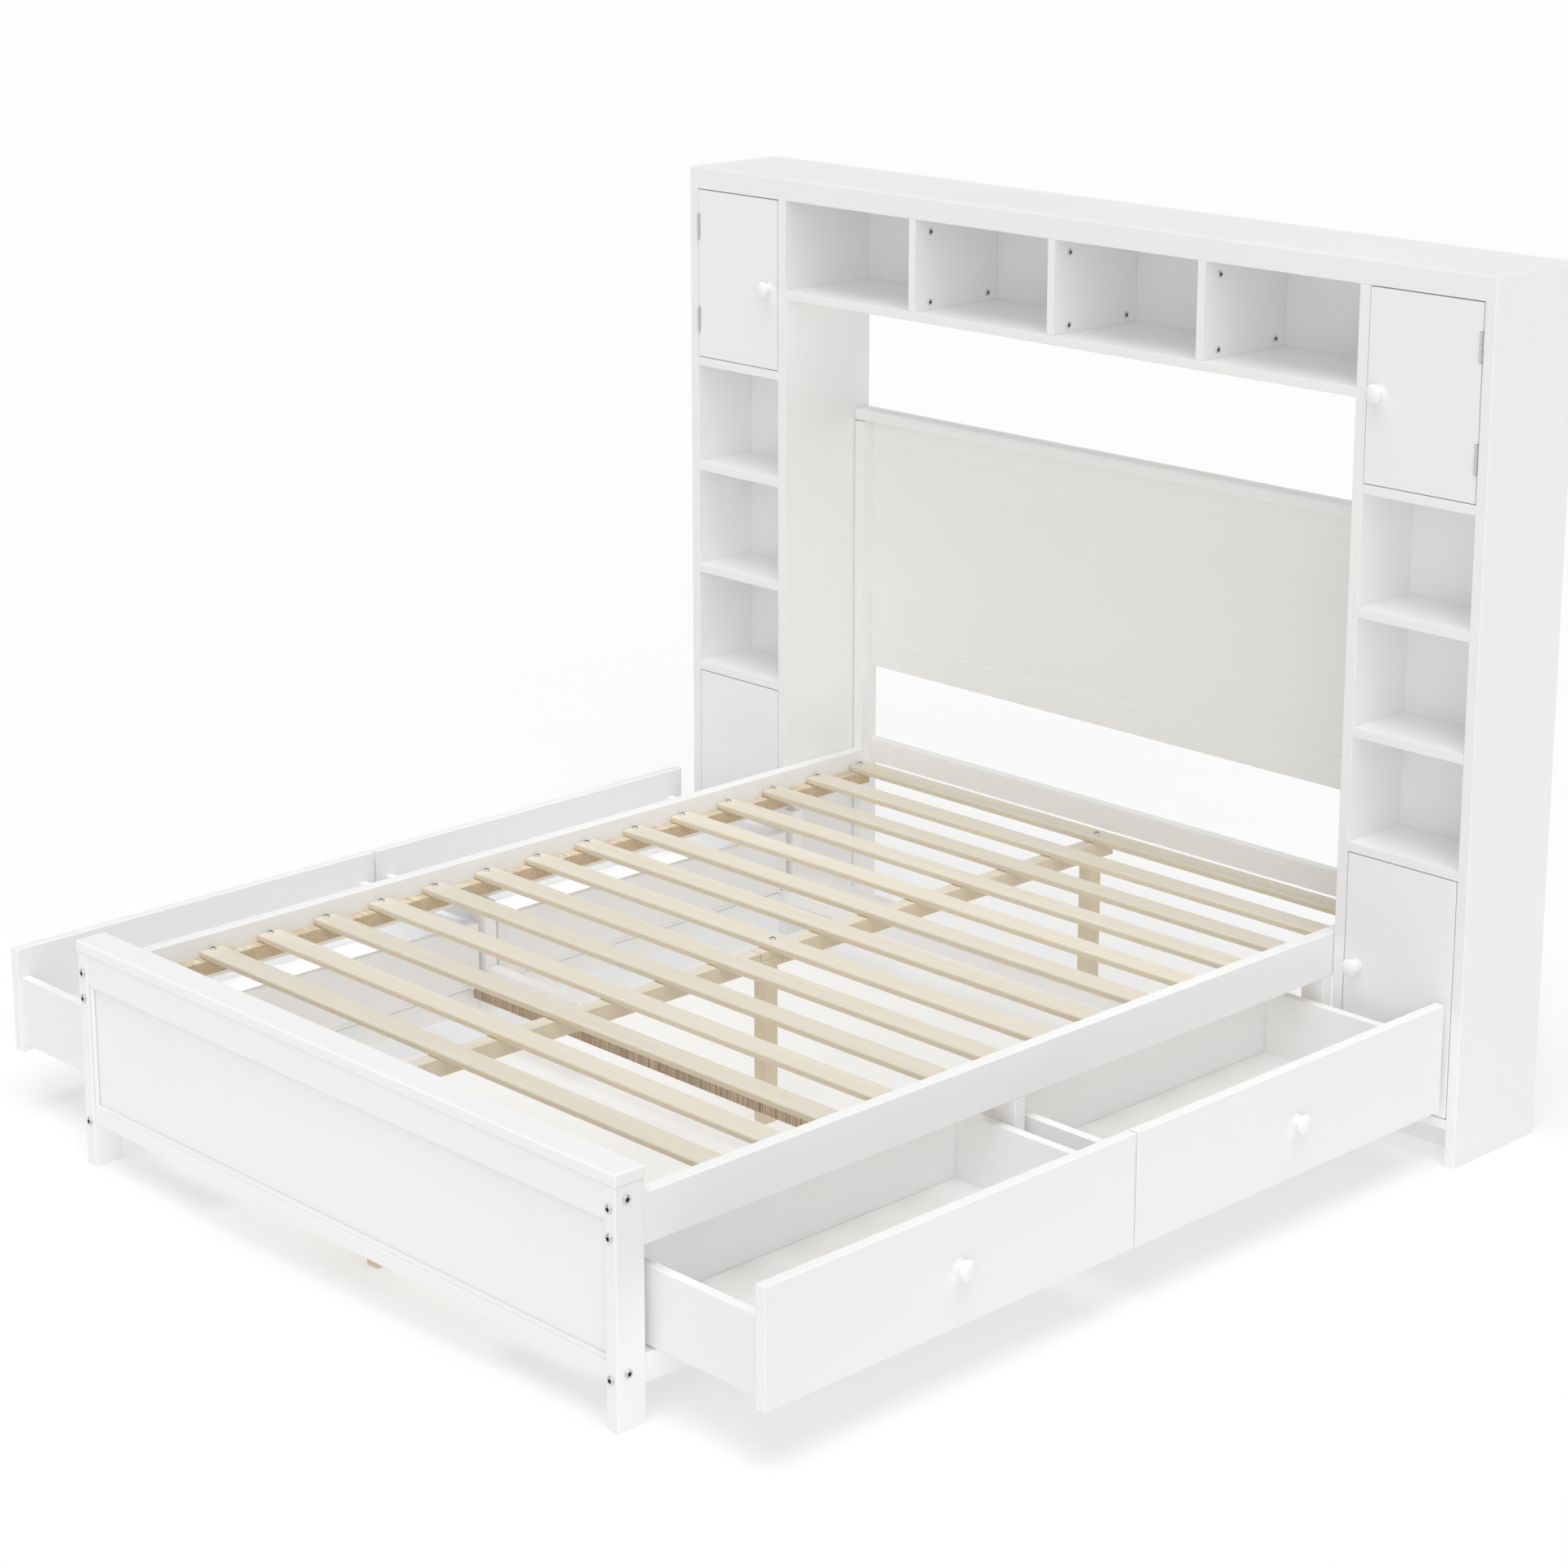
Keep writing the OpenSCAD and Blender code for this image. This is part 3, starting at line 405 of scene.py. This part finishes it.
def raw_wood(name, early, late, dark_pore, side_shade_tint, pore_share, tone_share, rough,
             band_size, draw_out, pore_size, depth, wear_amount):
    """Bare wood: early and late wood mixed by the growth band, darkened on its
    upright faces towards a side tint as painted shade, darkened in the pores,
    lighter or darker from board to board, and bleached on its arrises."""
    made = bpy.data.materials.new(name)
    made.use_nodes = True
    tree = made.node_tree
    skin = tree.nodes["Principled BSDF"]
    skin.inputs["Specular IOR Level"].default_value = 0.3
    spot = add(tree, "TexCoord").outputs["Object"]
    fibre = add(tree, "Attribute", attribute_name="fibre").outputs["Vector"]
    tone = add(tree, "Attribute", attribute_name="tone").outputs["Fac"]
    arris = add(tree, "Attribute", attribute_name="arris").outputs["Fac"]
    figure = add(tree, "Group", node_tree=timber)
    for key, value in (("Band size", band_size), ("Draw out", draw_out),
                       ("Pore size", pore_size)):
        figure.inputs[key].default_value = value
    tree.links.new(fibre, figure.inputs["Fibre"])
    tree.links.new(tone, figure.inputs["Tone"])
    banded = add(tree, "Mix", {0: figure.outputs["Band"], 6: (*early, 1), 7: (*late, 1)},
                 data_type="RGBA")
    pored = add(tree, "Math", {0: figure.outputs["Pore"], 1: pore_share},
                operation="MULTIPLY")
    flank = add(tree, "Attribute", attribute_name="flank").outputs["Fac"]
    # painted shade: upright faces are pulled towards the side tint, so sides read darker than tops
    side_shade_share = add(tree, "Math", {0: flank, 1: 0.6}, operation="MULTIPLY")
    side_shaded = add(tree, "Mix", {0: side_shade_share.outputs[0], 6: banded.outputs[2],
                              7: (*side_shade_tint, 1)}, data_type="RGBA")
    grained = add(tree, "Mix", {0: pored.outputs[0], 6: side_shaded.outputs[2],
                                7: (*dark_pore, 1)}, data_type="RGBA")
    toned = add(tree, "MapRange", {"Value": tone, "To Min": 1 - tone_share,
                                   "To Max": 1 + tone_share * 0.4})
    varied = add(tree, "HueSaturation", {"Color": grained.outputs[2],
                                         "Value": toned.outputs[0]})
    rubbing = add(tree, "Group", node_tree=wear)
    tree.links.new(spot, rubbing.inputs["Position"])
    tree.links.new(arris, rubbing.inputs["Arris"])
    rubbing.inputs["Amount"].default_value = wear_amount
    colour = add(tree, "Mix", {0: rubbing.outputs[0], 6: varied.outputs[0],
                               7: (*early, 1)}, data_type="RGBA")
    dull = add(tree, "MapRange", {"Value": figure.outputs["Height"], "From Max": 1.3,
                                  "To Min": rough - 0.08, "To Max": rough + 0.1})
    relief = add(tree, "Bump", {"Height": figure.outputs["Height"], "Strength": 0.6,
                                "Distance": depth})
    tree.links.new(colour.outputs[2], skin.inputs["Base Color"])
    tree.links.new(dull.outputs[0], skin.inputs["Roughness"])
    tree.links.new(relief.outputs[0], skin.inputs["Normal"])
    return made


sawn_wood = raw_wood("sawn_softwood", early=(0.87, 0.81, 0.68), late=(0.70, 0.59, 0.43),
                     dark_pore=(0.42, 0.28, 0.15), side_shade_tint=(0.58, 0.44, 0.27),
                     pore_share=0.55, tone_share=0.06, rough=0.72, band_size=62,
                     draw_out=0.22, pore_size=330, depth=0.0006, wear_amount=0.3)
boards("slat_cleats", sawn_wood, ease=0.0008, grain="x")


# ---------------------------------------------------------------------------
# Lower frame: lacquered rails and upright boards that make the drawer bays,
# with one raw crossbar in two lengths and guides and runners for the drawers.
# ---------------------------------------------------------------------------

board_white = lacquer("board_white_lacquer", bright=(0.942, 0.942, 0.941),
                      shade=(0.922, 0.922, 0.920), rubbed_to=(0.950, 0.948, 0.942),
                      rough=0.46, peel_size=800, fibre_share=0.25, wear_amount=0.35,
                      depth=0.00008)
for node in ("lower_rails", "bay_posts", "head_crossbar", "drawer_runners"):
    boards(node, board_white, ease=0.0014)
streaked_wood = raw_wood("streaked_softwood", early=(0.84, 0.72, 0.56),
                         late=(0.64, 0.51, 0.37), dark_pore=(0.20, 0.125, 0.07),
                         side_shade_tint=(0.50, 0.38, 0.27), pore_share=0.75, tone_share=0.08,
                         rough=0.74, band_size=110, draw_out=0.05, pore_size=300,
                         depth=0.0005, wear_amount=0.3)
boards("crossbars", streaked_wood, ease=0.0008, grain="z")

# guides: the free edge's two corners are turned to 7 mm before painting
guide_round, guide_ease = 0.007, 0.0014
free = guide_ease * CORNER_SHARE
guides = []
for low, high in solids_of("drawer_guides"):
    rim = [(low[2], low[0]), (high[2], low[0]), (high[2], high[0]), (low[2], high[0])]
    rounds = ([guide_round, guide_round, free, free] if low[0] + high[0] > 0
              else [free, free, guide_round, guide_round])
    guides.append(carried_board(eased_outline(rim, rounds, 6), AXIS["y"], low[1], high[1],
                                guide_ease, "x"))
fit_piece("drawer_guides_boards", guides, board_white, "drawer_guides")


# ---------------------------------------------------------------------------
# Centre beam and legs: two lengths of pale pine half-lapped over the middle
# leg, so the joint shows as a step in each side of the beam.
# ---------------------------------------------------------------------------

pine = raw_wood("clear_pine", early=(0.815, 0.768, 0.665), late=(0.783, 0.722, 0.600),
                dark_pore=(0.60, 0.48, 0.33), side_shade_tint=(0.750, 0.630, 0.440),
                pore_share=0.15, tone_share=0.05, rough=0.50, band_size=60,
                draw_out=0.016, pore_size=700, depth=0.00016, wear_amount=0.25)
beam_edge, lap_gap = 0.0012, 0.0015
for node in ("beam_foot", "beam_head"):
    low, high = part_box(node)
    mid = (low[2] + high[2]) / 2
    if node == "beam_foot":
        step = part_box("beam_head")[0][1] - lap_gap
        rim = [(low[1], low[2]), (high[1], low[2]), (high[1], mid),
               (step, mid), (step, high[2]), (low[1], high[2])]
    else:
        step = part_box("beam_foot")[1][1] + lap_gap
        rim = [(step, low[2]), (high[1], low[2]), (high[1], high[2]),
               (low[1], high[2]), (low[1], mid), (step, mid)]
    outline = eased_outline(rim, beam_edge * CORNER_SHARE)
    length = carried_board(outline, AXIS["x"], low[0], high[0], beam_edge, "y")
    fit_piece(node + "_length", [length], pine, node)
boards("beam_legs", pine, ease=beam_edge)


# ---------------------------------------------------------------------------
# Slats: planed pine laths with well rounded long edges, laid on the cleats,
# each held by a domed screw at both ends; two more go into the beam.
# ---------------------------------------------------------------------------

boards("slats", pine, ease=0.0034)


def lathe_faces(rows, turns):
    """Faces of a turned body with 'rows' rings of 'turns' points each, closed
    by a fan on one point at either end; the two points follow the rings."""
    a, b = np.meshgrid(np.arange(rows - 1), np.arange(turns), indexing="ij")
    c = (b + 1) % turns
    sides = np.stack([a * turns + b, a * turns + c, (a + 1) * turns + c,
                      (a + 1) * turns + b], -1).reshape(-1, 4)
    k = np.arange(turns)
    last = (rows - 1) * turns
    near = np.stack([(k + 1) % turns, k, np.full(turns, rows * turns)], -1)
    far = np.stack([last + k, last + (k + 1) % turns, np.full(turns, rows * turns + 1)], -1)
    return sides.tolist() + near.tolist() + far.tolist()


def stood(local, centre, axis, sign):
    """Corners whose last number is a height, stood on a centre so that the
    height runs up (sign 1) or down (sign -1) an axis of the room."""
    i, j = (axis + 1) % 3, (axis + 2) % 3
    co = np.empty_like(local)
    co[:, i], co[:, j] = local[:, 0], local[:, 1] * sign
    co[:, axis] = local[:, 2] * sign
    return co + np.asarray(centre)


def socket_head(centre, axis, sign, radius, height, shank_r, shank, turns):
    """A domed screw head with a hexagon socket, and its shank. Ring k is
    given by its radius and height; the rings of the socket follow the
    hexagon a / cos(angle from the middle of a flat) in place of a circle,
    with a a share of the head's radius."""
    socket_share, socket_floor, dome_start, dome_end = 0.47, 0.34, 0.1, 1.15
    angle = np.linspace(0, 2 * math.pi, turns, endpoint=False)
    from_flat = (angle + math.pi / 6) % (math.pi / 3) - math.pi / 6
    flat = socket_share * radius / np.cos(from_flat)
    dome = np.linspace(dome_start, dome_end, 7)
    rings = [(shank_r, -shank), (shank_r, 0.0), (radius * 0.97, 0.0), (radius, height * 0.1)]
    rings += [(radius * (0.62 + 0.38 * math.cos(f)),
               height * (0.1 + 0.9 * math.sin(f) / math.sin(dome_end))) for f in dome]
    r = np.array([q[0] for q in rings])[:, None] * np.ones(turns)
    h = np.array([q[1] for q in rings])[:, None] * np.ones(turns)
    lip = 0.55 * r[-1] + 0.45 * flat
    r = np.vstack([r, lip[None], 1.02 * flat[None], 0.96 * flat[None], 0.94 * flat[None]])
    h = np.vstack([h] + [np.full(turns, height * share)[None]
                         for share in (1.0, 0.98, 0.9, socket_floor)])
    rows = len(r)
    local = np.stack([r * np.cos(angle), r * np.sin(angle), h], -1).reshape(-1, 3)
    local = np.vstack([local, [[0, 0, -shank], [0, 0, height * 0.30]]])
    # the rings down inside the socket, and its floor, are marked for painted shade
    shade = np.zeros(len(local))
    shade[(rows - 2) * turns:rows * turns] = 1.0
    shade[-1] = 1.0
    return stood(local, centre, axis, sign), lathe_faces(rows, turns), shade


def fit_fixings(name, made, material, node):
    """One object from many small fixings, each (corners, faces, socket)."""
    base, faces = 0, []
    for co, part, _ in made:
        faces += [[v + base for v in f] for f in part]
        base += len(co)
    mesh = bpy.data.meshes.new(name)
    mesh.from_pydata(np.concatenate([m[0] for m in made]).tolist(), [], faces)
    mesh.attributes.new("socket", "FLOAT", "POINT").data.foreach_set(
        "value", np.concatenate([m[2] for m in made]).astype(np.float32))
    mesh.shade_smooth()
    mesh.set_sharp_from_angle(angle=math.radians(38))
    mesh.materials.append(material)
    thing = bpy.data.objects.new(name, mesh)
    bpy.context.scene.collection.objects.link(thing)
    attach(thing, frame["nodes"][node]["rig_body"])
    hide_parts(node)
    return thing


# zinc-plated steel: fine turning marks, dull patches, and painted shade inside the socket
zinc = bpy.data.materials.new("zinc_plate")
zinc.use_nodes = True
tree = zinc.node_tree
skin = tree.nodes["Principled BSDF"]
skin.inputs["Metallic"].default_value = 1.0
spot = add(tree, "TexCoord").outputs["Object"]
patches = add(tree, "TexNoise", {"Vector": spot, "Scale": 420.0, "Detail": 4.0})
marks = add(tree, "TexNoise", {"Vector": spot, "Scale": 2600.0, "Detail": 2.0})
socket = add(tree, "Attribute", attribute_name="socket").outputs["Fac"]
plate = add(tree, "Mix", {0: patches.outputs[0], 6: (0.56, 0.56, 0.57, 1),
                          7: (0.76, 0.76, 0.76, 1)}, data_type="RGBA")
# painted shade: the socket's walls and floor are coloured near black
socket_painted_shade = add(tree, "Mix", {0: socket, 6: plate.outputs[2], 7: (0.10, 0.098, 0.095, 1)},
            data_type="RGBA")
dull = add(tree, "MapRange", {"Value": patches.outputs[0], "From Min": 0.3,
                              "From Max": 0.7, "To Min": 0.28, "To Max": 0.46})
relief = add(tree, "Bump", {"Height": marks.outputs[0], "Strength": 0.3, "Distance": 0.00005})
tree.links.new(socket_painted_shade.outputs[2], skin.inputs["Base Color"])
tree.links.new(dull.outputs[0], skin.inputs["Roughness"])
tree.links.new(relief.outputs[0], skin.inputs["Normal"])

screw_head_height, screw_shank, screw_length = 0.0025, 0.002, 0.022
screws = []
for low, high in solids_of("slat_screws"):
    centre = ((low[0] + high[0]) / 2, (low[1] + high[1]) / 2, high[2] - screw_head_height)
    screws.append(socket_head(centre, AXIS["z"], 1, (high[0] - low[0]) / 2,
                              screw_head_height, screw_shank, screw_length, turns=30))
fit_fixings("slat_screw_heads", screws, zinc, "slat_screws")


# ---------------------------------------------------------------------------
# Headboard: two posts, three rails and a thin field that sits a little behind
# them, under a cap whose front edge is turned to a half round.
# ---------------------------------------------------------------------------

for node in ("head_posts", "head_top_rail", "head_bottom_rail", "head_low_rail"):
    boards(node, satin_white, ease=0.0016)
boards("head_panel", satin_white, ease=0.0005)

low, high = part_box("head_cap")
nearly_half = 0.985     # a full half round would leave an edge of no width
bull = (high[2] - low[2]) / 2 * nearly_half
rim = [(low[1], low[2]), (high[1], low[2]), (high[1], high[2]), (low[1], high[2])]
cap_outline = eased_outline(rim, [bull, 0.002, 0.002, bull], 8)
cap_board = carried_board(cap_outline, AXIS["x"], low[0], high[0], 0.0015, "x")
fit_piece("head_cap_board", [cap_board], satin_white, "head_cap")


# ---------------------------------------------------------------------------
# Frame bolts: domed zinc-plated bolts with hexagon sockets, through the posts
# from the front, the back and the sides into the ends of the rails.
# ---------------------------------------------------------------------------

bolt_head_height, bolt_shank = 0.0035, 0.003
bolts = []
for low, high in solids_of("frame_bolts"):
    size, middle = high - low, (high + low) / 2
    axis = int(np.argmax(size))
    sign = 1 if middle[axis] > 0 else -1
    centre = middle.copy()
    centre[axis] = (high[axis] if sign > 0 else low[axis]) - sign * bolt_head_height
    bolts.append(socket_head(centre, axis, sign, np.sort(size)[1] / 2, bolt_head_height,
                             bolt_shank, size[axis] - bolt_head_height, turns=48))
fit_fixings("frame_bolt_heads", bolts, zinc, "frame_bolts")


# ---------------------------------------------------------------------------
# Towers: white boards either side of the bed. The inner panels have a notch at
# the top front corner that lets the fascia pass across.
# ---------------------------------------------------------------------------

boards("tower_sides", board_white, ease=0.0013)
boards("tower_shelves", board_white, ease=0.0010, grain="x")
boards("tower_floors", board_white, ease=0.0010, grain="x")
boards("toe_kicks", board_white, ease=0.0010, grain="x")
boards("tower_backs", board_white, ease=0.0004)


def notched_panels(node, material, ease):
    """Upright panels with the fascia's notch: the outline in the YZ plane
    steps round the fascia, and is carried across the panel's thickness."""
    fascia_low, fascia_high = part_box("bridge_fascia")
    parts = []
    for low, high in solids_of(node):
        rim = [(low[1], low[2]), (high[1], low[2]), (high[1], high[2]),
               (fascia_high[1], high[2]), (fascia_high[1], fascia_low[2]),
               (low[1], fascia_low[2])]
        parts.append(carried_board(eased_outline(rim, CORNER_SHARE * ease), AXIS["x"],
                                   low[0], high[0], ease, "z"))
    return fit_piece(node + "_boards", parts, material, node)


notched_panels("tower_inners", board_white, ease=0.0013)


# ---------------------------------------------------------------------------
# Bridge: a top board behind a narrow fascia that runs over the towers too, and
# a floor, a thin back and three dividers between the towers.
# ---------------------------------------------------------------------------

boards("bridge_top", board_white, ease=0.0015)
boards("bridge_fascia", board_white, ease=0.0012)
boards("bridge_floor", board_white, ease=0.0012)
boards("bridge_back", board_white, ease=0.0004)
notched_panels("dividers", board_white, ease=0.0010)

cubby_bolts = []
for low, high in solids_of("divider_bolts"):
    centre = (low + high) / 2
    centre[0] = high[0] - screw_head_height
    cubby_bolts.append(socket_head(centre, AXIS["x"], 1, (high[1] - low[1]) / 2,
                                   screw_head_height, screw_shank,
                                   high[0] - low[0] - screw_head_height, turns=30))
fit_fixings("divider_bolt_heads", cubby_bolts, zinc, "divider_bolts")


# ---------------------------------------------------------------------------
# Doors: flush leaves with a two-millimetre gap all round. The upper ones hang
# on slim barrels, the lower ones turn on hidden pins; each has a round knob.
# ---------------------------------------------------------------------------

def softened(node, material, width):
    """Keeps a CAD leaf's shape, with its hinge seats, and eases its arrises:
    its loose triangles are welded, flats made whole, then edges bevelled."""
    leaf = frame["nodes"][node]
    leaf.data.materials.clear()
    leaf.data.materials.append(material)
    weld = leaf.modifiers.new("weld", "WELD")
    weld.merge_threshold = 0.00001
    flats = leaf.modifiers.new("flats", "DECIMATE")
    flats.decimate_type = "DISSOLVE"
    flats.angle_limit = math.radians(1)
    ease = leaf.modifiers.new("ease", "BEVEL")
    ease.width, ease.segments = width, 3
    ease.limit_method, ease.angle_limit = "ANGLE", math.radians(50)


for side in ("left", "right"):
    softened("door_upper_" + side, satin_white, width=0.0009)
    boards("door_lower_" + side, satin_white, ease=0.0012)


def turned(profile, centre, axis, sign, turns):
    """A shape turned on a lathe: ring k has radius r(k) and stands h(k) along
    the axis; both ends close on the axis in one point."""
    r, h = np.asarray(profile, float).T
    angle = np.linspace(0, 2 * math.pi, turns, endpoint=False)
    body = np.stack([r[1:-1, None] * np.cos(angle), r[1:-1, None] * np.sin(angle),
                     h[1:-1, None] * np.ones(turns)], -1).reshape(-1, 3)
    local = np.vstack([body, [[0, 0, h[0]], [0, 0, h[-1]]]])
    rows = len(r) - 2
    return (stood(local, centre, axis, sign), lathe_faces(rows, turns),
            np.zeros(len(local)))


# barrel hinges: five knuckles with fine gaps and domed pin ends, on thin leaves
barrel_radius, knuckles, leaf, pin_ease = 0.003, 5, 0.0012, 0.0004
hinge_parts = []
for low, high in solids_of("door_hinges"):
    length, middle = high[2] - low[2], (low + high) / 2
    if high[1] - low[1] > 0.008:
        side = 1 if middle[0] > 0 else -1
        radius = barrel_radius
        wide = low[0] + radius if side > 0 else high[0] - radius
        centre = (wide, low[1] + radius, low[2])
        knuckle = length / knuckles
        rings = [(0, 0), (radius * 0.6, 0.0001), (radius * 0.92, 0.0006)]
        for k in range(knuckles):
            rings += [(radius, k * knuckle + 0.0012), (radius, (k + 1) * knuckle - 0.0006)]
            if k < knuckles - 1:
                rings += [(radius * 0.8, (k + 1) * knuckle - 0.0003),
                          (radius * 0.8, (k + 1) * knuckle + 0.0003)]
        rings += [(radius * 0.92, length - 0.0003), (radius * 0.6, length - 0.0001),
                  (0, length)]
        hinge_parts.append(turned(rings, centre, AXIS["z"], 1, turns=28))
        plates = [((min(wide, wide + side * 0.0035), centre[1] - leaf, low[2] + 0.0004),
                   (max(wide, wide + side * 0.0035), centre[1], high[2] - 0.0004)),
                  ((high[0] - leaf if side > 0 else low[0], centre[1] - leaf, low[2] + 0.0002),
                   (high[0] if side > 0 else low[0] + leaf, high[1], high[2] - 0.0002))]
        for a, b in plates:
            plate = board(np.array(a), np.array(b), 0.00025)
            hinge_parts.append((plate["co"], plate["faces"], np.zeros(len(plate["co"]))))
    else:
        radius = (high[0] - low[0]) / 2
        rings = [(0, 0), (radius * 0.8, 0), (radius, pin_ease), (radius, length - pin_ease),
                 (radius * 0.8, length), (0, length)]
        hinge_parts.append(turned(rings, (middle[0], middle[1], low[2]), AXIS["z"], 1,
                                  turns=28))
fit_fixings("door_hinge_barrels", hinge_parts, zinc, "door_hinges")

knob_white = lacquer("knob_white_lacquer", bright=(0.945, 0.944, 0.941),
                     shade=(0.925, 0.924, 0.920), rubbed_to=(0.96, 0.958, 0.95),
                     rough=0.30, peel_size=900, fibre_share=0.10, wear_amount=0.0,
                     depth=0.00005)


def fit_knob(node, axis, sign):
    """A mushroom knob turned from one piece: a foot with an eased rim, a
    hollow waist, and a flattened ball whose section is half an ellipse."""
    low, high = (np.array(v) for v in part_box(node))
    out = high[axis] - low[axis]
    head = (high - low)[(axis + 1) % 3] / 2
    foot, waist = 0.853 * head, 0.588 * head
    ease = np.linspace(0, math.pi / 2, 5)
    cove = np.linspace(-math.pi / 2 * 0.86, math.pi / 2 * 0.80, 13)
    cap = np.linspace(-0.52, math.pi / 2, 22)[:-1]
    rim, foot_edge = 0.0004, 0.0012
    rings = [(0, 0), (foot - rim, 0)]
    rings += [(foot - foot_edge * (1 - math.cos(f)), 0.0014 + foot_edge * math.sin(f))
              for f in ease]
    dip = 0.2 * out
    rings += [(waist + dip - dip * math.cos(f), 0.29 * out + dip * math.sin(f) * 0.86)
              for f in cove]
    rings += [(head * math.cos(f), 0.62 * out + 0.38 * out * math.sin(f)) for f in cap]
    rings += [(0, out)]
    centre = (low + high) / 2
    centre[axis] = low[axis] if sign > 0 else high[axis]
    made = turned(rings, centre, axis, sign, turns=64)
    knob = fit_fixings(node + "_turned", [made], knob_white, node)
    knob.data.set_sharp_from_angle(angle=math.radians(60))
    return knob


for name in ("upper_left", "upper_right", "lower_left", "lower_right"):
    fit_knob("knob_" + name, AXIS["y"], -1)


# ---------------------------------------------------------------------------
# Drawers: a lacquered front with a knob on a plain box of four boards, whose
# thin bottom slides in grooves in the sides.
# ---------------------------------------------------------------------------

box_white = lacquer("box_white_foil", bright=(0.915, 0.916, 0.917),
                    shade=(0.895, 0.896, 0.897), rubbed_to=(0.935, 0.935, 0.93),
                    rough=0.52, peel_size=1000, fibre_share=0.12, wear_amount=0.2,
                    depth=0.00005)
for place in ("foot_left", "foot_right", "head_left", "head_right"):
    boards("front_" + place, satin_white, ease=0.0020, grain="y")
    boards("box_" + place, box_white, ease=0.0012)
    fit_knob("knob_" + place, AXIS["x"], 1 if place.endswith("right") else -1)


# ---------------------------------------------------------------------------
# Room: a pale floor, an even white surround and two broad soft lamps, so the
# tops are brightest and the cubbies keep their soft shade.
# ---------------------------------------------------------------------------

reach, under_feet = 60, 0.0005
floor_mesh = bpy.data.meshes.new("studio_floor")
floor_mesh.from_pydata([(-reach, -reach, 0), (reach, -reach, 0), (reach, reach, 0),
                        (-reach, reach, 0)], [], [(0, 1, 2, 3)])
floor = bpy.data.objects.new("studio_floor", floor_mesh)
bpy.context.scene.collection.objects.link(floor)
floor.location = (0, 0, -under_feet)
pale = bpy.data.materials.new("pale_floor")
pale.use_nodes = True
tree = pale.node_tree
skin = tree.nodes["Principled BSDF"]
skin.inputs["Roughness"].default_value = 0.9
skin.inputs["Specular IOR Level"].default_value = 0.1
mottle = add(tree, "TexNoise", {"Vector": add(tree, "TexCoord").outputs["Object"],
                                "Scale": 2.0, "Detail": 3.0})
pale_mix = add(tree, "Mix", {0: mottle.outputs[0], 6: (0.60, 0.60, 0.60, 1),
                             7: (0.62, 0.62, 0.62, 1)}, data_type="RGBA")
tree.links.new(pale_mix.outputs[2], skin.inputs["Base Color"])
skin.inputs["Emission Color"].default_value = (1.0, 1.0, 1.0, 1)
skin.inputs["Emission Strength"].default_value = 0.36
floor_mesh.materials.append(pale)

world = bpy.data.worlds.new("white_surround")
bpy.context.scene.world = world
world.use_nodes = True
# the surround lights the bed gently, but is seen as white as the floor
tree = world.node_tree
glow = tree.nodes["Background"]
seen = add(tree, "Background", {"Color": (1.0, 1.0, 1.0, 1), "Strength": 1.0})
glow.inputs["Color"].default_value = (1.0, 1.0, 1.0, 1)
glow.inputs["Strength"].default_value = 0.37
either = add(tree, "MixShader", {0: add(tree, "LightPath").outputs["Is Camera Ray"],
                                 1: glow.outputs[0], 2: seen.outputs[0]})
tree.links.new(either.outputs[0], tree.nodes["World Output"].inputs["Surface"])


def broad_lamp(name, towards, power, spread):
    """An even, very soft lamp: a distant light that comes from the direction
    'towards' over a disc of sky 'spread' degrees wide."""
    light = bpy.data.lights.new(name, "SUN")
    light.energy, light.angle = power, math.radians(spread)
    lamp = bpy.data.objects.new(name, light)
    bpy.context.scene.collection.objects.link(lamp)
    lamp.rotation_euler = Vector(towards).to_track_quat("Z", "Y").to_euler()
    return lamp


broad_lamp("front_softbox", towards=(0.57, -0.60, 0.50), power=0.79, spread=60)
broad_lamp("top_softbox", towards=(0.10, -0.10, 1.0), power=1.66, spread=50)

scene = bpy.context.scene
scene.view_settings.view_transform = "Standard"
scene.cycles.diffuse_bounces = 8

# the camera looks down on the bed past the footboard's right corner, from well
# above eye height
tilt, turn = 14.21, 46.031
lens = bpy.data.cameras.new("view")
lens.sensor_width = 36
lens.lens = 82.25
lens.shift_y = -0.12
lens.dof.use_dof = False
camera = bpy.data.objects.new("view", lens)
scene.collection.objects.link(camera)
camera.location = (4.4585, -4.2486, 2.5665)
camera.rotation_euler = (math.radians(90 - tilt), 0, math.radians(turn))
scene.camera = camera
